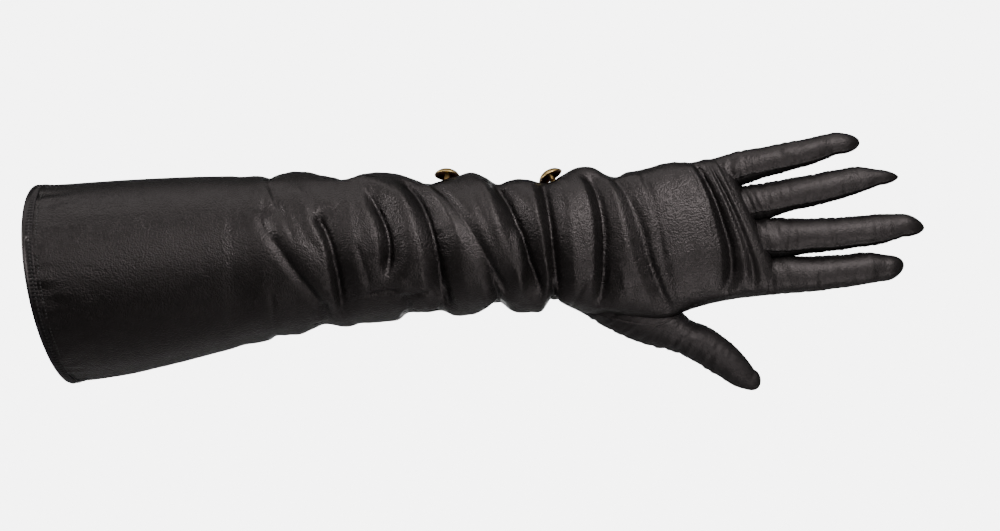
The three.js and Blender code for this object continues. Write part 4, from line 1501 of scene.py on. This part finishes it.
# The strips' leather is darker than the hand's: painted shade for the gaps between the fingers. Its low
# gloss is the strips' duller finish.
strip_leather = leather("side_leather", (0.003, 0.003, 0.003), (0.006, 0.006, 0.006),
                        (0.40, 0.55), 0.10, gloss=0.14)
edge_leather = leather("edge_leather", (0.004, 0.004, 0.0045), (0.010, 0.0095, 0.010),
                       (0.30, 0.42), 0.06, gloss=0.42)
gold = metal()
finish_thread(thread_material)
finish(trank_skin, hand_leather)
finish(finger_skin, hand_leather)
finish(thumb_skin, smooth_leather)
finish(thumb_welts, smooth_leather)
for strip in strips:
    finish(strip, strip_leather)
finish(cuff_binding, edge_leather)
for button in buttons:
    finish(button, gold)
print("materials:", [material.name for material in bpy.data.materials])

# %% [markdown]
# ## Stage, light and camera
#
# The glove is shown as worn, so it is above a pale floor and well in front of a pale wall, with a panel
# that glows evenly as a studio's backdrop does. Five soft lights draw the folds: a wide one above, a
# narrow one in front, a square one towards the fingers, a faint low one and one from the cuff's side.
# The camera looks straight at the back of the hand.

# %% Floor, wall, lights and camera
def stage_plane(name, corners):
    """A flat part of the stage."""
    mesh = bpy.data.meshes.new(name)
    mesh.from_pydata(corners, [], [list(range(len(corners)))])
    plane = bpy.data.objects.new(name, mesh)
    bpy.context.scene.collection.objects.link(plane)
    return plane


def stage_material(name, tone, glow=0.0, panel=(1.0, 1.0)):
    """A pale surface. Where it glows, the glow is a panel of this half width and half height."""
    material = bpy.data.materials.new(name)
    tree, shader = new_material(material)
    place = tree.nodes.new("ShaderNodeTexCoord").outputs["Object"]
    cloud = noise_node(tree, place, 1.2, 2.0)
    light = tone + 0.03
    tree.links.new(colour_between(tree, cloud, (tone, tone, tone), (light, light, light)),
                   shader.inputs["Base Color"])
    shader.inputs["Roughness"].default_value = 0.9
    if glow:
        shader.inputs["Emission Color"].default_value = (1, 1, 1, 1)
        axes = tree.nodes.new("ShaderNodeSeparateXYZ")
        tree.links.new(place, axes.inputs["Vector"])
        fades = []
        for axis, half in zip("XZ", panel):
            away = math_node(tree, "ABSOLUTE", axes.outputs[axis], 0.0)
            fade = ranged(tree, away, 1.0, 0.0)
            fade.node.interpolation_type = "SMOOTHSTEP"
            fade.node.inputs["From Min"].default_value = half
            fade.node.inputs["From Max"].default_value = half * 1.25
            fades.append(fade)
        both = math_node(tree, "MULTIPLY", *fades)
        tree.links.new(ranged(tree, both, 0.05, glow), shader.inputs["Emission Strength"])
    return material


def brighten_for_camera(material, strength):
    """Lift a stage surface in the picture alone, so that no light from it reaches the glove."""
    tree = material.node_tree
    shader = tree.nodes["Principled BSDF"]
    rays = tree.nodes.new("ShaderNodeLightPath")
    shader.inputs["Emission Color"].default_value = (1, 1, 1, 1)
    lift = math_node(tree, "MULTIPLY", rays.outputs["Is Camera Ray"], strength)
    tree.links.new(lift, shader.inputs["Emission Strength"])


WALL_BACK = 3.2
LEFT, RIGHT, FRONT, FLOOR_DOWN, WALL_TOP = -4, 4, -3, -2, 3
FLOOR_LIFT = 2.0
PANEL, PANEL_GLOW = (1.09, 0.62), 6.0
SURROUND_LIGHT, SURROUND_LOOK = 0.03, 3.0
floor_corners = [(LEFT, FRONT), (RIGHT, FRONT), (RIGHT, WALL_BACK), (LEFT, WALL_BACK)]
wall_corners = [(LEFT, FLOOR_DOWN), (RIGHT, FLOOR_DOWN), (RIGHT, WALL_TOP), (LEFT, WALL_TOP)]
floor = stage_plane("floor", [(across, back, FLOOR_DOWN) for across, back in floor_corners])
wall = stage_plane("wall", [(across, 0, up) for across, up in wall_corners])
wall.location = (0.22, WALL_BACK, 0.0)
pale_floor = stage_material("pale_floor", 0.66)
brighten_for_camera(pale_floor, FLOOR_LIFT)
finish(floor, pale_floor)
finish(wall, stage_material("pale_wall", 0.88, glow=PANEL_GLOW, panel=PANEL))


def area_light(name, place, aim, size, power, spread=math.pi):
    """A soft lamp at a place, turned to its aim."""
    light = bpy.data.lights.new(name, "AREA")
    light.shape = "RECTANGLE"
    light.size, light.size_y = size
    light.energy = power
    light.spread = spread
    light.color = LIGHT_COLOUR
    lamp = bpy.data.objects.new(name, light)
    bpy.context.scene.collection.objects.link(lamp)
    lamp.location = place
    lamp.rotation_euler = (Vector(aim) - Vector(place)).to_track_quat("-Z", "Y").to_euler()
    return lamp


LIGHT_COLOUR = (1.0, 0.965, 0.94)
AIM = (0.22, 0, 0.01)
area_light("ceiling", (0.2, -0.1, 0.95), AIM, (1.6, 0.7), 5.3)
area_light("window", (0.0, -1.2, 0.5), AIM, (1.2, 0.2), 3.3)
area_light("softbox", (0.64, -0.67, 0.45), (0.37, 0, 0.02), (0.42, 0.4), 6.0)
area_light("low", (0.6, -0.5, -0.42), (0.34, 0, 0), (0.3, 0.3), 0.15, math.radians(45))
area_light("side", (-0.95, -0.3, 0.45), (0.2, 0, 0.02), (0.6, 0.5), 10.0)


def studio_world(light, backdrop):
    """A dim surround that lights the glove, and a pale one where the view runs past the wall."""
    world = bpy.data.worlds.new("studio")
    world.use_nodes = True
    tree = world.node_tree
    tree.nodes.clear()
    mixer = tree.nodes.new("ShaderNodeMixShader")
    output = tree.nodes.new("ShaderNodeOutputWorld")
    rays = tree.nodes.new("ShaderNodeLightPath")
    tree.links.new(rays.outputs["Is Camera Ray"], mixer.inputs[0])
    for socket, strength in zip(mixer.inputs[1:], (light, backdrop)):
        background = tree.nodes.new("ShaderNodeBackground")
        background.inputs["Color"].default_value = (1, 1, 1, 1)
        background.inputs["Strength"].default_value = strength
        tree.links.new(background.outputs["Background"], socket)
    tree.links.new(mixer.outputs["Shader"], output.inputs["Surface"])
    return world


bpy.context.scene.world = studio_world(SURROUND_LIGHT, SURROUND_LOOK)

SENSOR, CAMERA_AWAY, VIEW_WIDTH = 36, 1.1, 0.5
camera_data = bpy.data.cameras.new("camera")
camera_data.sensor_width = SENSOR
camera_data.lens = SENSOR * CAMERA_AWAY / VIEW_WIDTH
camera_data.clip_end = 20
camera = bpy.data.objects.new("camera", camera_data)
bpy.context.scene.collection.objects.link(camera)
camera.location = (0.221, -CAMERA_AWAY, 0.00925)
camera.rotation_euler = (math.pi / 2, 0, 0)
bpy.context.scene.camera = camera
